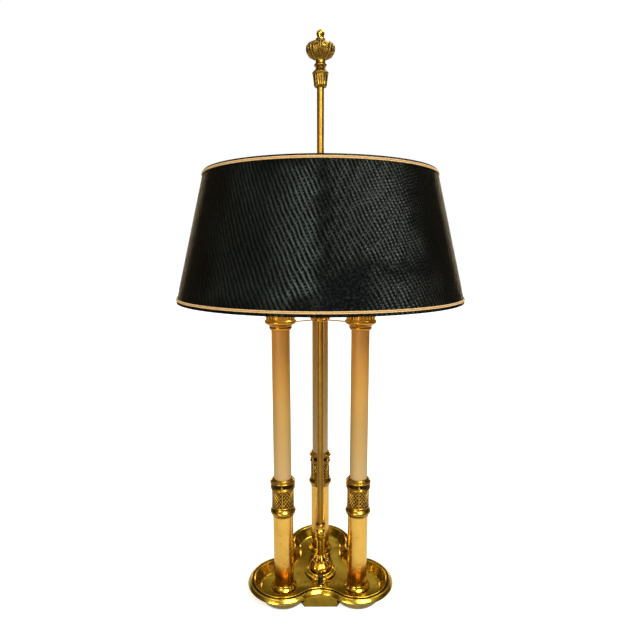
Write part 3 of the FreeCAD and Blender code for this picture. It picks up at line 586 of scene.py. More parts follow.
LOOKS: dict[Finish, Brass | CandleEnamel | Leatherette | Mottled | GoldCord] = {
    # Sand-cast brass, buffed by hand: bright and slightly wavy, and darker towards its foot.
    Finish.CAST_BRASS: Brass("#CDAA3A", "#7E661E", "#221906", tarnish=0.5, rough=0.15, crease_mm=5.0,
                             bump=0.5, wave_mm=0.35, foot_mm=19.0, foot_share=0.45),
    # Cast brass, made dark in its pattern by painted shade, and polished on its rings.
    Finish.ANTIQUE_BRASS: Brass("#B08833", "#604417", "#120B02", tarnish=0.55, blot_mm=7.0, crease_mm=2.6,
                                crease=0.95),
    # Sheet brass spun on a lathe and lacquered: orange and even.
    Finish.SPUN_BRASS: Brass("#CC9434", "#88591A", "#2C1805", rough=0.18),
    # Drawn brass tube under clear lacquer: the palest metal, with upright lines, and a foot darkened by
    # painted shade and reflection.
    Finish.SLEEVE_BRASS: Brass("#EBBC5C", "#C68E30", "#5E3C0E", tarnish=0.3, blot_mm=22.0, crease_mm=12.0,
                               crease=0.6, drawn=True, bump=0.12, foot_mm=46.0),
    # Drawn brass rod without lacquer: satin, deeper in colour, with faint upright lines.
    Finish.DRAWN_BRASS: Brass("#9A742A", "#6F4E19", "#3C1D05", tarnish=0.3, rough=0.34, crease_mm=2.0,
                              crease=0.3, drawn=True, bump=0.03),
    # Brass-washed steel wire: thin and dull.
    Finish.SHADE_WIRE: Brass("#B98F45", "#7A5A22", "#33230C", tarnish=0.3, rough=0.3),
    Finish.CANDLE_ENAMEL: CandleEnamel(),
    Finish.LEATHERETTE: Leatherette(),
    Finish.GOLD_BRAID: GoldCord(),
    # Zinc-plated steel: grey, with a faint cloud.
    Finish.ZINC_STEEL: Mottled("#8E8F8C", "#C4C4BF", 0.34, grain_mm=2.5, depth_mm=0.02, metallic=1.0),
    # Rough cast iron under black paint: dull and pitted.
    Finish.CAST_IRON: Mottled("#1B1B1B", "#343331", 0.7, grain_mm=1.2, depth_mm=0.15),
    # Green wool felt: matt, with a soft edge.
    Finish.FELT: Mottled("#1C2B1F", "#31442F", 0.95, grain_mm=0.8, depth_mm=0.25, sheen=0.4),
    # Moulded phenolic resin: brown-black and glossy.
    Finish.PHENOLIC: Mottled("#100B08", "#1F1711", 0.3, grain_mm=1.8),
    # Nickel-plated brass: pale and bright.
    Finish.NICKEL: Mottled("#8F8A7C", "#D8D2C2", 0.22, grain_mm=2.0, depth_mm=0.02, metallic=1.0),
    # Frosted bulb glass: white, and only a little see-through.
    Finish.BULB_GLASS: Mottled("#F3EEE2", "#FFFBF2", 0.35, grain_mm=6.0, depth_mm=0.01, see_through=0.35),
    # Gilt lining paper: a soft gold with slight fibres.
    Finish.LINER_PAPER: Mottled("#BFA468", "#D8C084", 0.55, grain_mm=2.2),
    # Extruded vinyl wire sleeve: gold-brown and satin.
    Finish.WIRE_SLEEVE: Mottled("#8A6A2C", "#A9853C", 0.4, grain_mm=3.0),
    # Brass turned on a lathe: smoother than the castings, with painted shade darkening the cuts between its
    # mouldings.
    Finish.TURNED_BRASS: Brass("#C9A13A", "#765A1C", "#1E1504", tarnish=0.5, rough=0.18, blot_mm=8.0,
                               crease_mm=3.4, crease=0.95, bump=0.1),
    # Cast brass, darker for the finial: brown-gold, and nearly black in its relief, where painted shade
    # darkens it.
    Finish.FINIAL_BRASS: Brass("#94742E", "#5A431A", "#140C03", tarnish=0.5, rough=0.3, blot_mm=7.0,
                               crease_mm=4.0, crease=0.95, bump=0.08),
    # Nearly black brass for the bottoms of grooves and the ground behind the lattice: painted shade.
    Finish.GROOVE_SHADE_BRASS: Brass("#33220A", "#1E1305", "#080401", tarnish=0.6, rough=0.34, blot_mm=5.0,
                               crease=0.95),
    # The raised strips of the lattice, rubbed bright.
    Finish.LATTICE_BRASS: Brass("#C79A3C", "#8A611C", "#2C1B05", tarnish=0.4, rough=0.24, blot_mm=6.0,
                                crease_mm=1.2, crease=0.6, bump=0.1),
}


def smooth(mesh: bpy.types.Mesh, sharp_degrees: float = 32.0) -> bpy.types.Mesh:
    """Shade a mesh smooth between its sharp edges.

    Args:
        mesh: The mesh, which is changed.
        sharp_degrees: The least angle of an edge that stays sharp.

    Returns:
        The same mesh.
    """
    mesh.polygons.foreach_set("use_smooth", [True] * len(mesh.polygons))
    mesh.set_sharp_from_angle(angle=math.radians(sharp_degrees))
    mesh.update()
    return mesh


def merged_copy(node: str) -> bpy.types.Mesh:
    """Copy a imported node's mesh, with its loose triangles joined and shaded smooth.

    Args:
        node: The node's name.

    Returns:
        The copy.
    """
    mesh = frame["nodes"][node].data.copy()
    work = bmesh.new()
    work.from_mesh(mesh)
    bmesh.ops.remove_doubles(work, verts=work.verts, dist=WELD_COPY_MM * MM)
    work.to_mesh(mesh)
    work.free()
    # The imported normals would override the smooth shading.
    if "custom_normal" in mesh.attributes:
        mesh.attributes.remove(mesh.attributes["custom_normal"])
    return smooth(mesh)


def revolved(profile: list[Flat], centre: Flat, segments: int = 96,
             shape: Callable[[float, float, float], Flat] | None = None) -> bpy.types.Mesh:
    """Turn a closed profile about an upright axis, with an optional relief that varies round it.

    Args:
        profile: Radii and heights in millimetres, in order round the section.
        centre: The axis's place in millimetres.
        segments: Steps round the axis.
        shape: A function of angle, radius and height that returns a new radius and height.

    Returns:
        The new mesh, in metres.
    """
    work = bmesh.new()
    rings = []
    for step in range(segments):
        angle = 2 * math.pi * step / segments
        section = [shape(angle, *spot) for spot in profile] if shape else profile
        rings.append([work.verts.new(Vector((centre[0] + radius * math.cos(angle),
                                             centre[1] + radius * math.sin(angle), height)) * MM)
                      for radius, height in section])
    close_loops(work, rings)
    bmesh.ops.remove_doubles(work, verts=work.verts, dist=WELD_TURNED_MM * MM)
    return finished(work)


def close_loops(work: bmesh.types.BMesh, loops: list[list[bmesh.types.BMVert]]) -> None:
    """Join closed loops of points into a closed skin, each to the next and the last to the first.

    Args:
        work: The mesh under construction.
        loops: The loops, with as many points in each.
    """
    for here, there in zip(loops, loops[1:] + loops[:1]):
        for index in range(len(here)):
            following = (index + 1) % len(here)
            work.faces.new((here[index], there[index], there[following], here[following]))


def finished(work: bmesh.types.BMesh) -> bpy.types.Mesh:
    """Turn a closed skin's faces outwards and make it a mesh.

    Args:
        work: The mesh under construction, which is freed.

    Returns:
        The new mesh.
    """
    bmesh.ops.recalc_face_normals(work, faces=work.faces)
    mesh = bpy.data.meshes.new("turned")
    work.to_mesh(mesh)
    work.free()
    return smooth(mesh)


def strips(paths: list[Strip], thickness: float, closed: bool = False, sides: int = 3) -> bpy.types.Mesh:
    """Lay round strips along paths, joined in one mesh.

    Args:
        paths: For each strip, its points in millimetres and the share of the thickness at each.
        thickness: The strips' radius in millimetres.
        closed: Whether each strip runs back into its start.
        sides: Resolution of the round section.

    Returns:
        The new mesh, in metres.
    """
    curve = bpy.data.curves.new("strips", "CURVE")
    curve.dimensions = "3D"
    curve.bevel_depth = thickness * MM
    curve.bevel_resolution = sides
    curve.use_fill_caps = True
    for points, shares in paths:
        spline = curve.splines.new("POLY")
        spline.points.add(len(points) - 1)
        for point, spot, share in zip(spline.points, points, shares):
            point.co = (*(Vector(spot) * MM), 1)
            point.radius = share
        spline.use_cyclic_u = closed
    holder = bpy.data.objects.new("strips", curve)
    bpy.context.scene.collection.objects.link(holder)
    bpy.context.view_layer.update()
    mesh = bpy.data.meshes.new_from_object(holder.evaluated_get(bpy.context.evaluated_depsgraph_get()))
    bpy.data.objects.remove(holder)
    bpy.data.curves.remove(curve)
    return smooth(mesh, STRIP_SHARP_DEGREES)


def arc(start: Flat, end: Flat, bulge: float, steps: int = 6) -> list[Flat]:
    """Give the points of a rounded moulding from start to just before end.

    Args:
        start: First radius and height.
        end: Last radius and height, left out of the list.
        bulge: How far the middle stands out to the right of the way, as a share of the chord.
        steps: Pieces along the arc.

    Returns:
        The points.
    """
    across, up = end[0] - start[0], end[1] - start[1]
    points = []
    for step in range(steps):
        share = step / steps
        out = bulge * math.sin(math.pi * share)
        points.append((start[0] + across * share + up * out, start[1] + up * share - across * out))
    return points


def box_mm(node: str) -> tuple[Vector, Vector]:
    """A node's lowest and highest corners at rest, in millimetres."""
    low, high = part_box(node)
    return low / MM, high / MM


def toward(degrees: float) -> Vector:
    """A step of 1 from the rod at an angle from +X."""
    return Vector((math.cos(math.radians(degrees)), math.sin(math.radians(degrees))))


def column_place(side: Side) -> Flat:
    """A column's axis in millimetres, from its sleeve's box."""
    low, high = box_mm("column_sleeve_" + side.word)
    return (low.x + high.x) / 2, (low.y + high.y) / 2


class RepeatTree:
    """A Geometry Nodes tree that sets copies of a small form round an upright axis."""

    def __init__(self) -> None:
        """Build the tree and its named inputs."""
        self.tree = bpy.data.node_groups.new("round_axis", "GeometryNodeTree")
        face = self.tree.interface
        face.new_socket("Form", in_out="INPUT", socket_type="NodeSocketGeometry")
        self.sockets = {word: face.new_socket(word, in_out="INPUT", socket_type=kind) for word, kind in (
            ("Count", "NodeSocketInt"), ("Centre", "NodeSocketVector"), ("Start", "NodeSocketFloat"),
            ("Finish", "NodeSocketMaterial"))}
        face.new_socket("Result", in_out="OUTPUT", socket_type="NodeSocketGeometry")
        given = add(self.tree, "NodeGroupInput").outputs
        points = add(self.tree, "GeometryNodeMeshLine", {"Count": given["Count"], "Offset": (0, 0, 0)})
        index = add(self.tree, "GeometryNodeInputIndex")
        share = add(self.tree, "ShaderNodeMath", {0: index, 1: given["Count"]}, operation="DIVIDE")
        angle = add(self.tree, "ShaderNodeMath", {0: share, 1: 2 * math.pi, 2: given["Start"]},
                    operation="MULTIPLY_ADD")
        turn = add(self.tree, "ShaderNodeCombineXYZ", {2: angle})
        copies = add(self.tree, "GeometryNodeInstanceOnPoints", {"Points": points, "Instance": given["Form"],
                                                                 "Rotation": turn})
        moved = add(self.tree, "GeometryNodeTransform", {0: copies, "Translation": given["Centre"]})
        real = add(self.tree, "GeometryNodeRealizeInstances", {0: moved})
        dressed = add(self.tree, "GeometryNodeSetMaterial", {0: real, "Material": given["Finish"]})
        add(self.tree, "NodeGroupOutput", {0: dressed})

    def round_axis(self, form: bpy.types.Mesh, count: int, centre: Flat, start: float,
                   material: bpy.types.Material) -> bpy.types.Mesh:
        """Set copies of a form round an axis.

        Args:
            form: A mesh in metres, placed as the copy at angle zero about the origin's axis.
            count: How many copies.
            centre: The axis's place in millimetres.
            start: The first copy's angle in radians.
            material: The copies' material.

        Returns:
            The copies as one plain mesh.
        """
        holder = bpy.data.objects.new("repeat", form)
        bpy.context.scene.collection.objects.link(holder)
        modifier = holder.modifiers.new("repeat", "NODES")
        modifier.node_group = self.tree
        for word, value in (("Count", count), ("Centre", (centre[0] * MM, centre[1] * MM, 0.0)),
                            ("Start", start), ("Finish", material)):
            modifier[self.sockets[word].identifier] = value
        bpy.context.view_layer.update()
        made = holder.evaluated_get(bpy.context.evaluated_depsgraph_get())
        mesh = bpy.data.meshes.new_from_object(made)
        holder.modifiers.clear()
        bpy.data.objects.remove(holder)
        return smooth(mesh, STRIP_SHARP_DEGREES)


class Workshop:
    """What every sub-assembly shares: the materials, the repeat tree and the way a mesh becomes a piece."""

    def __init__(self) -> None:
        """Build every material and the repeat tree."""
        self.materials = {finish: look.build(finish.value) for finish, look in LOOKS.items()}
        self.repeats = RepeatTree()

    def piece(self, name: str, mesh: bpy.types.Mesh, finish: Finish, body: Body,
              stands_for: tuple[str, ...] = (), slot: Finish | None = None) -> None:
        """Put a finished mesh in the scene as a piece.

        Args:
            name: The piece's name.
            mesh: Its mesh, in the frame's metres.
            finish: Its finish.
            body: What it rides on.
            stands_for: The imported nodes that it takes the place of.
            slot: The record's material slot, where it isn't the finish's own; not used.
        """
        mesh.name = name
        piece = bpy.data.objects.new(name, mesh)
        bpy.context.scene.collection.objects.link(piece)
        mesh.materials.clear()
        mesh.materials.append(self.materials[finish])
        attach(piece, body.value)
        if stands_for:
            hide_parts(*stands_for)
        LOG.info("%s: %d faces of %s on %s", name, len(mesh.polygons), finish.value, body.value)

    def ring_of(self, name: str, form: bpy.types.Mesh, count: int, centre: Flat, start: float, finish: Finish,
                slot: Finish) -> None:
        """Set copies of a form round an axis as one piece of the stand.

        Args:
            name: The piece's name.
            form: The form, as the copy at angle zero.
            count: How many copies.
            centre: The axis's place in millimetres.
            start: The first copy's angle in radians.
            finish: The copies' finish.
            slot: The record's material slot.
        """
        mesh = self.repeats.round_axis(form, count, centre, start, self.materials[finish])
        self.piece(name, mesh, finish, Body.STAND, slot=slot)

    def dress_frame(self) -> None:
        """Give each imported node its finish, and stand a smooth copy in for each one that still shows."""
        bodies = {node: body for body, nodes in frame["record"]["behaviour"]["bodies"].items()
                  for node in nodes}
        slots = {row["node"]: row["material_slot"] for row in frame["record"]["subparts"]}
        for node, thing in sorted(frame["nodes"].items()):
            finish = Finish(slots[node])
            thing.data.materials.clear()
            thing.data.materials.append(self.materials[finish])
            if not thing.hide_render:
                self.piece(node + "_smooth", merged_copy(node), finish, Body(bodies[node]), (node,))


@dataclass
class Shade:
    """The cone shade's edges: two gold cords, each twisted from two plies, along either rim."""

    shop: Workshop
    cord_radius: float = 0.78
    cord_gap: float = 1.04
    ply_radius: float = 0.5
    ply_offset: float = 0.34
    lay_mm: float = 3.4
    steps_per_lay: int = 6
    strand_phase: float = 1.1
    trim_stand_out: float = 1.9
    step_in: float = 0.35

    def trim(self, node: str) -> None:
        """Lay two twisted cords, one above the other, where a trim lies.

        Args:
            node: The trim's node.
        """
        low, high = box_mm(node)
        cover_low, cover_high = box_mm("shade_cover")
        ring_low, ring_high = box_mm("shade_trim_top")
        height = (low.z + high.z) / 2
        reach = (high.x - low.x) / 2 - self.cord_radius - self.step_in
        across = cover_high.x - (ring_high.x - self.trim_stand_out)
        lean = math.atan(across / ((ring_low.z + ring_high.z) / 2 - cover_low.z))
        laps = round(2 * math.pi * reach / self.lay_mm)
        count = laps * self.steps_per_lay
        paths = []
        for strand in range(2):
            side = (strand - 0.5) * 2 * self.cord_radius * self.cord_gap
            radius, level = reach - side * math.sin(lean), height + side * math.cos(lean)
            for ply in range(2):
                points = []
                for step in range(count):
                    angle = 2 * math.pi * step / count
                    twist = angle * laps + ply * math.pi + strand * self.strand_phase
                    out = radius + self.ply_offset * math.cos(twist)
                    points.append((out * math.cos(angle), out * math.sin(angle),
                                   level + self.ply_offset * math.sin(twist)))
                paths.append((points, [1.0] * count))
        mesh = strips(paths, self.ply_radius, closed=True, sides=1)
        self.shop.piece(node + "_cord", mesh, Finish.GOLD_BRAID, Body.SHADE, (node,))

    def build(self) -> None:
        """Build both trims."""
        self.trim("shade_trim_top")
        self.trim("shade_trim_bottom")


@dataclass
class Column:
    """One candle column: its turned collar with a lattice band, and the candle cap's gallery."""

    side: Side
    shop: Workshop
    bore: float = 13.3
    band_radius: float = 15.4
    band_low: float = 157.0
    band_high: float = 183.0
    strip_radius: float = 0.42
    strip_count: int = 20
    strip_steps: int = 14
    strip_sweep: float = 1.35
    rib_radius: float = 0.95
    rib_count: int = 4
    gallery_radius: float = 19.5
    gallery_foot: float = 439.9
    tongue_radius: float = 1.15
    tongue_count: int = 26
    pearl_radius: float = 0.85

    def collar(self) -> None:
        """Turn the collar: a thick foot ring, the band, and two rings with a deep groove between them."""
        place = column_place(self.side)
        node = "column_collar_" + self.side.word
        low, high = box_mm(node)
        foot, top, wall = low.z, self.band_high, self.band_radius - 0.1
        foot_ring = [(15.2, foot), *arc((16.2, foot), (17.6, foot + 3.2), -0.15),
                     *arc((17.7, foot + 3.4), (17.5, foot + 10.4), 0.2, 10), (17.5, foot + 10.4),
                     (16.0, foot + 12.2), (15.6, foot + 13.6),
                     *arc((16.0, foot + 14.2), (16.0, foot + 16.6), 0.3)]
        band = [(wall, self.band_low), (wall, top - 1.2)]
        lower_ring = [*arc((16.2, top - 0.6), (16.2, top + 3.2), 0.42, 8), (15.9, top + 3.6)]
        groove = [(15.3, top + 5.0), (15.3, top + 8.2)]
        upper_ring = [(16.4, top + 9.4), *arc((16.8, top + 9.6), (16.4, top + 14.2), 0.42, 8),
                      (16.2, top + 14.4)]
        mouth = [(15.0, high.z - 0.6), (14.4, high.z), (self.bore, high.z), (self.bore, foot + 8),
                 (15.2, foot + 8)]
        mesh = revolved([*foot_ring, *band, *lower_ring, *groove, *upper_ring, *mouth], place)
        self.shop.piece("collar_turned_" + self.side.word, mesh, Finish.ANTIQUE_BRASS, Body.STAND, (node,))

        # Nearly black rings on the band behind the lattice and in the groove: painted shade.
        inner = self.band_radius - 0.6
        ground = [(inner, self.band_low + 0.1), (self.band_radius, self.band_low + 0.1),
                  (self.band_radius, top - 1.3), (inner, top - 1.3)]
        groove_shade = [(15.0, top + 3.8), (15.9, top + 3.8), (15.45, top + 5.2), (15.45, top + 8.2),
                (16.3, top + 9.4), (15.0, top + 9.4)]
        for word, profile in (("ground", ground), ("groove", groove_shade)):
            self.shop.piece(f"collar_{word}_{self.side.word}", revolved(profile, place, 72),
                            Finish.GROOVE_SHADE_BRASS, Body.STAND, slot=Finish.ANTIQUE_BRASS)

    def lattice(self) -> None:
        """Cross two sets of slanting strips round the collar's band."""
        tall = self.band_high - self.band_low
        paths = []
        for way in (1, -1):
            points = []
            for step in range(self.strip_steps + 1):
                share = step / self.strip_steps
                angle = way * self.strip_sweep * (share - 0.5)
                points.append((self.band_radius * math.cos(angle), self.band_radius * math.sin(angle),
                               self.band_low + tall * share))
            paths.append((points, [1.0] * len(points)))
        self.shop.ring_of("collar_lattice_" + self.side.word, strips(paths, self.strip_radius, sides=1),
                          self.strip_count, column_place(self.side), 0.0, Finish.LATTICE_BRASS,
                          Finish.ANTIQUE_BRASS)

    def ribs(self) -> None:
        """Stand ribs up the band, each with a strap that bridges the groove to the upper ring."""
        tall, wall, top = self.band_high - self.band_low, self.band_radius, self.band_high
        line = [(wall + 0.2, self.band_low - 4.0), (wall + 0.5, self.band_low),
                (wall + 0.35, self.band_low + tall * 0.25), (wall + 0.35, self.band_low + tall * 0.75),
                (wall + 0.6, top - 0.4), (wall + 2.0, top + 1.2), (wall + 1.4, top + 3.6),
                (wall + 1.4, top + 6.4), (wall + 2.2, top + 9.6)]
        rib = strips([([(radius, 0.0, height) for radius, height in line],
                       [0.8, 0.9, 0.7, 0.7, 0.9, 1.1, 1.5, 1.9, 0.9])], self.rib_radius, sides=2)
        start = math.radians(-45 if self.side is Side.BACK else -90)
        self.shop.ring_of("collar_ribs_" + self.side.word, rib, self.rib_count, column_place(self.side),
                          start, Finish.LATTICE_BRASS, Finish.ANTIQUE_BRASS)

    def gallery(self) -> None:
        """Stand a row of small tongues round the candle cap's gallery, with pearls along its edge."""
        place = column_place(self.side)
        high = box_mm("candle_cap_" + self.side.word)[1]
        reach, foot = self.gallery_radius, self.gallery_foot
        tongue = strips([([(reach, 0, foot), (reach + 0.25, 0, foot + 2.4), (reach + 0.3, 0, foot + 5.0),
                           (reach + 0.1, 0, foot + 7.6)], [0.6, 1.0, 1.1, 0.45])], self.tongue_radius)
        self.shop.ring_of("cap_tongues_" + self.side.word, tongue, self.tongue_count, place, 0.0,
                          Finish.SPUN_BRASS, Finish.SPUN_BRASS)
        work = bmesh.new()
        bmesh.ops.create_icosphere(work, subdivisions=2, radius=self.pearl_radius * MM)
        bmesh.ops.translate(work, verts=work.verts, vec=Vector((reach + 0.35, 0, high.z - 1.3)) * MM)
        pearl = bpy.data.meshes.new("pearl")
        work.to_mesh(pearl)
        work.free()
        self.shop.ring_of("cap_pearls_" + self.side.word, pearl, self.tongue_count * 2, place, 0.0,
                          Finish.SPUN_BRASS, Finish.SPUN_BRASS)

    def build(self) -> None:
        """Build every piece of the column."""
        self.collar()
        self.lattice()
        self.ribs()
        self.gallery()


@dataclass
class Finial:
    """The finial on top: a fluted cup, and an urn covered with leaf scrolls."""

    shop: Workshop
    rod_bore: float = 4.85
    flute_count: int = 14
    flute_depth: float = 0.95
    flute_top: float = 15.0
    scroll_count: int = 4
    scroll_height: float = 21.5
    scroll_reach: float = 4.4
    strip_radius: float = 1.05

    def cup(self) -> None:
        """Turn the cup, with upright flutes on its wall."""
        low, high = box_mm("rod_cup")
        base = low.z
        profile = [(self.rod_bore, base), *arc((6.2, base), (8.7, base + 4.6), 0.25), (8.7, base + 4.6),
                   (9.1, base + 7), (9.5, base + 10), (9.9, base + 13.2), (10.2, base + 14.6),
                   (10.1, base + 15.4), (10.5, base + 16.0),
                   *arc((10.8, base + 16.4), (10.6, base + 18.8), 0.3), (10.6, base + 18.8),
                   (8.8, base + 21), (7.6, base + 22), (6.4, base + 23.6), (6.1, high.z),
                   (self.rod_bore, high.z)]

        def flute(angle: float, radius: float, height: float) -> Flat:
            """Raise round lobes with narrow valleys between them, on the wall only.

            Args:
                angle: The angle round the cup.
                radius: The plain wall's radius.
                height: The height in millimetres.

            Returns:
                The new radius and height.
            """
            rise = height - base
            if radius < self.rod_bore + 0.2 or not 1 <= rise <= self.flute_top:
                return radius, height
            depth = self.flute_depth * math.sin(math.pi * (rise - 1) / (self.flute_top - 1)) ** 0.5
            return radius + 0.25 - depth * (1 - abs(math.sin(angle * self.flute_count / 2)) ** 0.7), height

        mesh = revolved(profile, (0, 0), self.flute_count * 12, flute)
        self.shop.piece("cup_fluted", mesh, Finish.FINIAL_BRASS, Body.STAND, ("rod_cup",), Finish.CAST_BRASS)

    def on_urn(self, turn: float, height: float, out: float = 0.0) -> Place:
        """Find a place on the urn's wall.

        Args:
            turn: The angle round the urn.
            height: Millimetres above the urn's foot.
            out: How far the place stands out from the wall.

        Returns:
            The place in millimetres.
        """
        wall = [(8.6, 6.4), (11.0, 8.1), (13.0, 11.5), (15.6, 15.5), (18.4, 17.8), (22.0, 18.5), (25.8, 17.8),
                (29.2, 15.4), (31.0, 11.4), (32.2, 5.6)]
        radius = wall[-1][1]
        for (below, inner), (above, outer) in zip(wall, wall[1:]):
            if height <= above:
                radius = inner + (outer - inner) * (height - below) / (above - below)
                break
        radius += out
        return radius * math.cos(turn), radius * math.sin(turn), box_mm("finial_urn")[0].z + height

    def scroll(self, middle: float, way: int) -> Strip:
        """Curl one scroll inwards, away from a leaf's middle line.

        Args:
            middle: The angle of the middle line.
            way: 1 or -1 for the side that it lies on.

        Returns:
            The strip.
        """
        points, shares = [], []
        for step in range(30):
            share = step / 29
            curl = self.scroll_reach * (1 - share) ** 0.8 + 0.55
            phase = -1.6 + share * 7.4
            points.append(self.on_urn(middle + way * (0.27 + curl * math.cos(phase) / 17.5),
                                      self.scroll_height + curl * 1.15 * math.sin(phase), 0.25))
            shares.append(0.55 + 0.75 * math.sin(math.pi * min(share * 1.15, 1)))
        return points, shares

    def leaf(self, middle: float, way: int, number: int) -> Strip:
        """Fan one narrow leaf out from the foot of a scroll.

        Args:
            middle: The angle of the middle line.
            way: 1 or -1 for the side that it lies on.
            number: 0 for the inmost and longest leaf, up to 2.

        Returns:
            The strip.
        """
        points, shares = [], []
        for step in range(9):
            share = step / 8
            points.append(self.on_urn(middle + way * (0.05 + number * 0.13 + share * (0.08 + 0.1 * number)),
                                      10.5 + number * 0.9 + share * (8.2 - number * 1.2), 0.1))
            shares.append(0.5 + 0.8 * math.sin(math.pi * share))
        return points, shares

    def urn(self) -> None:
        """Lay scrolls, their leaves and upright veins on the urn."""
        paths = []
        spacing = 2 * math.pi / self.scroll_count
        for number in range(self.scroll_count):
            middle = number * spacing - math.pi / 2
            for way in (1, -1):
                paths.append(self.scroll(middle, way))
                paths.extend(self.leaf(middle, way, leaf) for leaf in range(3))
                bud = [self.on_urn(middle + way * (0.1 + 0.04 * step), 27.4 + step * 0.7, 0.05)
                       for step in range(6)]
                paths.append((bud, [0.6, 1.0, 1.2, 1.1, 0.9, 0.5]))
            vein = [self.on_urn(middle, 11 + 2 * step, 0.2) for step in range(11)]
            paths.append((vein, [0.5, 0.9, 1.2, 1.1, 0.8, 0.6, 0.8, 1.1, 1.2, 0.9, 0.4]))
            between = [self.on_urn(middle + spacing / 2, 11 + 2.25 * step, 0.1) for step in range(9)]
            paths.append((between, [0.4, 0.9, 1.2, 1.4, 1.2, 1.5, 1.3, 0.8, 0.4]))
        relief = strips(paths, self.strip_radius, sides=2)
        self.shop.piece("urn_ground", merged_copy("finial_urn"), Finish.FINIAL_BRASS, Body.STAND,
                        ("finial_urn",), Finish.CAST_BRASS)
        self.shop.piece("urn_scrolls", relief, Finish.FINIAL_BRASS, Body.STAND, slot=Finish.CAST_BRASS)

    def build(self) -> None:
        """Build the finial's pieces."""
        self.cup()
        self.urn()


@dataclass
class Stem:
    """The foot of the stem on the tray: a petalled ball under a ring of leaves."""

    shop: Workshop
    rod_bore: float = 4.9
    petal_count: int = 10
    petal_depth: float = 1.5
    petal_twist: float = 0.06
    leaf_count: int = 8
    leaf_start: float = 0.2
    leaf_radius: float = 1.5

    def ball(self) -> None:
        """Turn the ball under the stem, with swirled lobes like closed petals."""
        low, high = box_mm("centre_ball")
        base = low.z
        profile = [(self.rod_bore, base), (14.6, base), *arc((15.6, base), (17.9, base + 4.8), 0.12),
                   *arc((17.9, base + 4.8), (15.4, base + 10.0), 0.1),
                   *arc((15.4, base + 10.0), (8.0, high.z), 0.12), (8.0, high.z), (self.rod_bore, high.z)]

        def petal(angle: float, radius: float, height: float) -> Flat:
            """Raise round lobes whose valleys sweep sideways as they rise.

            Args:
                angle: The angle round the ball.
                radius: The plain ball's radius.
                height: The height in millimetres.

            Returns:
                The new radius and height.
            """
            if radius < 8.5 or height < base + 0.1:
                return radius, height
            swing = angle * self.petal_count / 2 + (height - base) * self.petal_twist
            return radius - self.petal_depth * (1 - abs(math.sin(swing)) ** 0.5), height

        mesh = revolved(profile, (0, 0), self.petal_count * 14, petal)
        self.shop.piece("ball_petals", mesh, Finish.TURNED_BRASS, Body.STAND, ("centre_ball",),
                        Finish.CAST_BRASS)

    def leaves(self) -> None:
        """Stand leaves round the foot of the stem, over the ball."""
        base = box_mm("centre_stem")[0].z
        line = [(6.6, 0, base + 9.4), (7.4, 0, base + 6.8), (8.6, 0, base + 4.2), (10.2, 0, base + 2.0),
                (11.2, 0, base + 0.4), (10.9, 0, base - 1.2)]
        leaf = strips([(line, [0.35, 0.8, 1.15, 1.3, 1.0, 0.45])], self.leaf_radius)
        self.shop.ring_of("stem_leaves", leaf, self.leaf_count, (0, 0), self.leaf_start, Finish.TURNED_BRASS,
                          Finish.CAST_BRASS)

    def build(self) -> None:
        """Build the ball and the leaves."""
        self.ball()
        self.leaves()


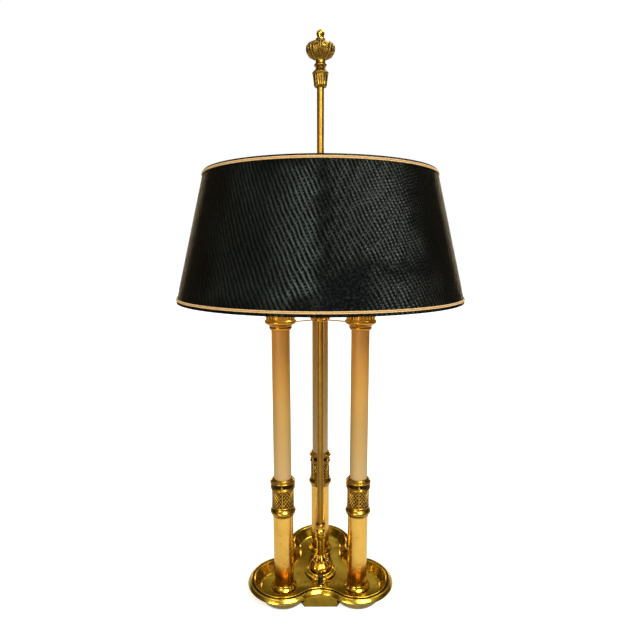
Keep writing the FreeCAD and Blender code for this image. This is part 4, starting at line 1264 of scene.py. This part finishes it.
@dataclass
class TrayRim:
    """The two beads that run along the tray's lobed edge, and the painted shade in the groove between them.
    """

    shop: Workshop
    lobe_circle: float = 65.5
    lobe_radius: float = 55.5
    lobe_points: int = 90
    notch_circle: float = 99.0
    notch_radius: float = 32.3
    notch_steps: int = 40
    bead_radius: float = 1.1

    @staticmethod
    def meeting(middle: Vector, reach: float, other: Vector, other_reach: float, way: int) -> Vector:
        """Find where two circles meet.

        Args:
            middle: The first circle's middle.
            reach: The first circle's radius.
            other: The second circle's middle.
            other_reach: The second circle's radius.
            way: 1 for the meeting to the left of the line between the middles, -1 for the right.

        Returns:
            The meeting point.
        """
        line = other - middle
        along = (line.length_squared + reach * reach - other_reach * other_reach) / (2 * line.length)
        aside = math.sqrt(max(reach * reach - along * along, 0))
        unit = line.normalized()
        return middle + unit * along + Vector((-unit.y, unit.x)) * aside * way

    @staticmethod
    def sweep(middle: Vector, reach: float, start: Vector, end: Vector, way: int,
              shares: list[float]) -> list[Flat]:
        """Go round a circle from one of its points towards another.

        Args:
            middle: The circle's middle.
            reach: Its radius.
            start: The first point.
            end: The last point.
            way: 1 to go anticlockwise, -1 to go clockwise.
            shares: Where on the way the wanted points are, from 0 to 1.

        Returns:
            The wanted points.
        """
        first = math.atan2(start.y - middle.y, start.x - middle.x)
        last = math.atan2(end.y - middle.y, end.x - middle.x)
        while (last - first) * way < 0:
            last += 2 * math.pi * way
        turns = [first + (last - first) * share for share in shares]
        return [(middle.x + reach * math.cos(turn), middle.y + reach * math.sin(turn)) for turn in turns]

    def outline(self, inset: float) -> list[Flat]:
        """Follow the tray's edge at a distance: three lobes, with a hollow after each.

        Args:
            inset: How far in from the edge, in millimetres.

        Returns:
            Points in order round the tray, as many for every inset.
        """
        lobe, notch = self.lobe_radius - inset, self.notch_radius + inset
        lobe_shares = [step / (self.lobe_points - 1) for step in range(self.lobe_points)]
        notch_shares = [step / self.notch_steps for step in range(1, self.notch_steps)]
        points = []
        for side in (Side.LEFT, Side.RIGHT, Side.BACK):
            axis = toward(side.value + 60)
            middle, after = toward(side.value) * self.lobe_circle, axis * self.notch_circle
            start = self.meeting(middle, lobe, toward(side.value - 60) * self.notch_circle, notch, 1)
            end = self.meeting(middle, lobe, after, notch, -1)
            mirrored = axis * (2 * end.dot(axis)) - end
            points += self.sweep(middle, lobe, start, end, 1, lobe_shares)
            points += self.sweep(after, notch, end, mirrored, -1, notch_shares)
        return points

    def build(self) -> None:
        """Lay the two beads and the groove between them."""
        top = box_mm("base_tray")[1].z
        paths = []
        for inset, drop in ((4.7, 1.0), (9.6, 0.8)):
            points = [(x, y, top - drop) for x, y in self.outline(inset)]
            paths.append((points, [1.0] * len(points)))
        beads = strips(paths, self.bead_radius, closed=True, sides=2)
        self.shop.piece("rim_beads", beads, Finish.CAST_BRASS, Body.STAND)
        # A nearly black strip in the groove between the beads: painted shade.
        section = [(5.6, -0.55), (6.6, -1.22), (7.3, -1.45), (8.1, -1.2), (8.8, -0.5), (8.8, -2.2),
                   (5.6, -2.2)]
        work = bmesh.new()
        close_loops(work, [[work.verts.new(Vector((x, y, top + height)) * MM) for x, y in self.outline(inset)]
                           for inset, height in section])
        self.shop.piece("rim_groove", finished(work), Finish.GROOVE_SHADE_BRASS, Body.STAND, slot=Finish.CAST_BRASS)


@dataclass(frozen=True)
class SoftLight:
    """One soft rectangular light that points at the object."""

    name: str
    place: Place
    size: Flat
    watts: float
    colour: str
    aim_height: float = 0.45

    def hang(self) -> None:
        """Put the light in the scene."""
        data = bpy.data.lights.new(self.name, "AREA")
        data.shape = "RECTANGLE"
        data.size, data.size_y = self.size
        data.energy = self.watts
        data.color = linear(self.colour)[:3]
        light = bpy.data.objects.new(self.name, data)
        light.location = self.place
        aim = Vector((0, 0, self.aim_height)) - Vector(self.place)
        light.rotation_euler = aim.to_track_quat("-Z", "Y").to_euler()
        bpy.context.scene.collection.objects.link(light)


@dataclass
class Stage:
    """The pale floor, soft lights, dark cards for the metal to reflect, and the camera."""

    camera_at: Place = (-0.0040, -0.7171, 0.5355)
    pitch_degrees: float = 10.45
    yaw_degrees: float = 0.27
    focal_pixels: float = 489.29
    frame_pixels: float = 640.0
    centre_pixel: float = 339.68
    sensor_mm: float = 36.0
    floor_half: float = 6.0
    card_size: Flat = (1.0, 2.0)
    card_aim: float = 0.3
    card_patch_mm: float = 400.0
    lights: tuple[SoftLight, ...] = (
        SoftLight("key", (-1.0, -1.9, 0.7), (0.9, 0.9), 22, "#FFF6E6", 0.35),
        SoftLight("window", (0.62, -1.55, 1.45), (1.1, 0.7), 44, "#FAFFFD"),
        SoftLight("left_edge", (-1.1, 1.9, 0.55), (0.4, 1.2), 7, "#FFE9C2"),
        SoftLight("right_edge", (1.1, 1.9, 0.55), (0.4, 1.2), 10, "#FFE9C2"),
        SoftLight("top", (0.9, 0.6, 2.2), (0.9, 0.9), 16, "#FFFFFF", 0.35),
    )

    def camera(self) -> None:
        """Set the camera where the photograph was taken from."""
        data = bpy.data.cameras.new("camera")
        data.sensor_width = self.sensor_mm
        data.lens = self.focal_pixels * self.sensor_mm / self.frame_pixels
        data.shift_y = (self.centre_pixel - self.frame_pixels / 2) / self.frame_pixels
        data.clip_start = 0.01
        camera = bpy.data.objects.new("camera", data)
        camera.location = self.camera_at
        camera.rotation_euler = Euler((math.radians(90 - self.pitch_degrees), 0,
                                       -math.radians(self.yaw_degrees)))
        bpy.context.scene.collection.objects.link(camera)
        bpy.context.scene.camera = camera

    def square(self, name: str, segments: int, half: float, material: bpy.types.Material) -> bpy.types.Object:
        """Make a flat square that belongs to the stage.

        Args:
            name: The square's name.
            segments: Faces along each side.
            half: Half its width in metres.
            material: Its material.

        Returns:
            The new object, level at the origin.
        """
        work = bmesh.new()
        bmesh.ops.create_grid(work, x_segments=segments, y_segments=segments, size=half)
        mesh = bpy.data.meshes.new(name)
        work.to_mesh(mesh)
        work.free()
        mesh.materials.append(material)
        thing = bpy.data.objects.new(name, mesh)
        bpy.context.scene.collection.objects.link(thing)
        return thing

    def card(self, name: str, place: Place) -> None:
        """Stand a dark card out of the camera's sight, for the brass to reflect.

        Args:
            name: The card's name.
            place: Its middle, in metres.
        """
        material, tree, where = begin(name)
        patches = add(tree, "ShaderNodeTexNoise", {"Vector": where, "Scale": PER_METRE / self.card_patch_mm})
        colour = add(tree, "ShaderNodeValToRGB", {0: patches}, ((0.3, "#1E160A"), (0.8, "#6B5326")))
        shader = add(tree, "ShaderNodeBsdfPrincipled", {"Base Color": colour, "Roughness": 0.9})
        add(tree, "ShaderNodeOutputMaterial", {"Surface": shader})
        card = self.square(name, 1, 0.5, material)
        card.scale = (*self.card_size, 1)
        card.location = place
        aim = Vector((0, 0, self.card_aim)) - Vector(place)
        card.rotation_euler = aim.to_track_quat("Z", "Y").to_euler()
        card.visible_camera = False
        card.visible_shadow = False
        card.visible_diffuse = False

    def floor(self) -> None:
        """Lay a wide pale floor that shows as the photograph's white ground, with the lamp's soft shadow."""
        material, tree, where = begin("pale_floor")
        seen = add(tree, "ShaderNodeLightPath").outputs["Is Camera Ray"]
        away = add(tree, "ShaderNodeVectorMath", {0: where}, operation="LENGTH").outputs[1]
        lift = add(tree, "ShaderNodeMapRange", {0: away, 1: 0.3, 2: 1.2, 3: 0.6, 4: 1.0})
        glow = add(tree, "ShaderNodeMath", {0: seen, 1: lift}, operation="MULTIPLY")
        shader = add(tree, "ShaderNodeBsdfPrincipled", {
            "Base Color": "#D0CFCD", "Roughness": 0.8,
            "Emission Color": "#FFFFFF", "Emission Strength": glow})
        add(tree, "ShaderNodeOutputMaterial", {"Surface": shader})
        self.square("floor", 8, self.floor_half, material)

    def world(self) -> None:
        """Fill the room with soft uneven light, and show it white."""
        world = bpy.data.worlds.new("studio")
        world.use_nodes = True
        tree = world.node_tree
        tree.nodes.clear()
        seen = add(tree, "ShaderNodeLightPath").outputs["Is Camera Ray"]
        ways = add(tree, "ShaderNodeTexCoord").outputs["Generated"]
        up = add(tree, "ShaderNodeSeparateXYZ", {0: ways}).outputs[2]
        patches = add(tree, "ShaderNodeTexNoise", {"Vector": ways, "Scale": 2.4, "Detail": 1.5})
        uneven = add(tree, "ShaderNodeMath", {0: patches, 1: 0.48}, operation="SUBTRACT")
        level = add(tree, "ShaderNodeMath", {0: uneven, 1: 2.2, 2: up}, operation="MULTIPLY_ADD")
        room = add(tree, "ShaderNodeValToRGB", {0: level}, (
            (0.0, "#2E2614"), (0.3, "#4E4224"), (0.6, "#857548"), (0.85, "#D2CAB6"), (1.0, "#F6F4F0")))
        lit = add(tree, "ShaderNodeBackground", {"Color": room, "Strength": 1.0})
        white = add(tree, "ShaderNodeBackground", {"Color": "#FFFFFF"})
        sky = add(tree, "ShaderNodeMixShader", {0: seen, 1: lit, 2: white})
        add(tree, "ShaderNodeOutputWorld", {"Surface": sky})
        bpy.context.scene.world = world

    def build(self) -> None:
        """Build the stage."""
        bpy.context.scene.view_settings.view_transform = "Standard"
        self.camera()
        self.floor()
        self.world()
        for light in self.lights:
            light.hang()
        self.card("left_card", (-1.5, -0.2, 0.4))
        self.card("right_card", (1.5, 0.1, 0.4))


def main() -> None:
    """Build the stage, the lamp's visible detail and then the finish of everything else."""
    logging.basicConfig(level=logging.INFO, format="%(message)s")
    shop = Workshop()
    Stage().build()
    Shade(shop).build()
    for side in Side:
        Column(side, shop).build()
    Finial(shop).build()
    Stem(shop).build()
    TrayRim(shop).build()
    shop.dress_frame()


if __name__ == "__main__":
    main()
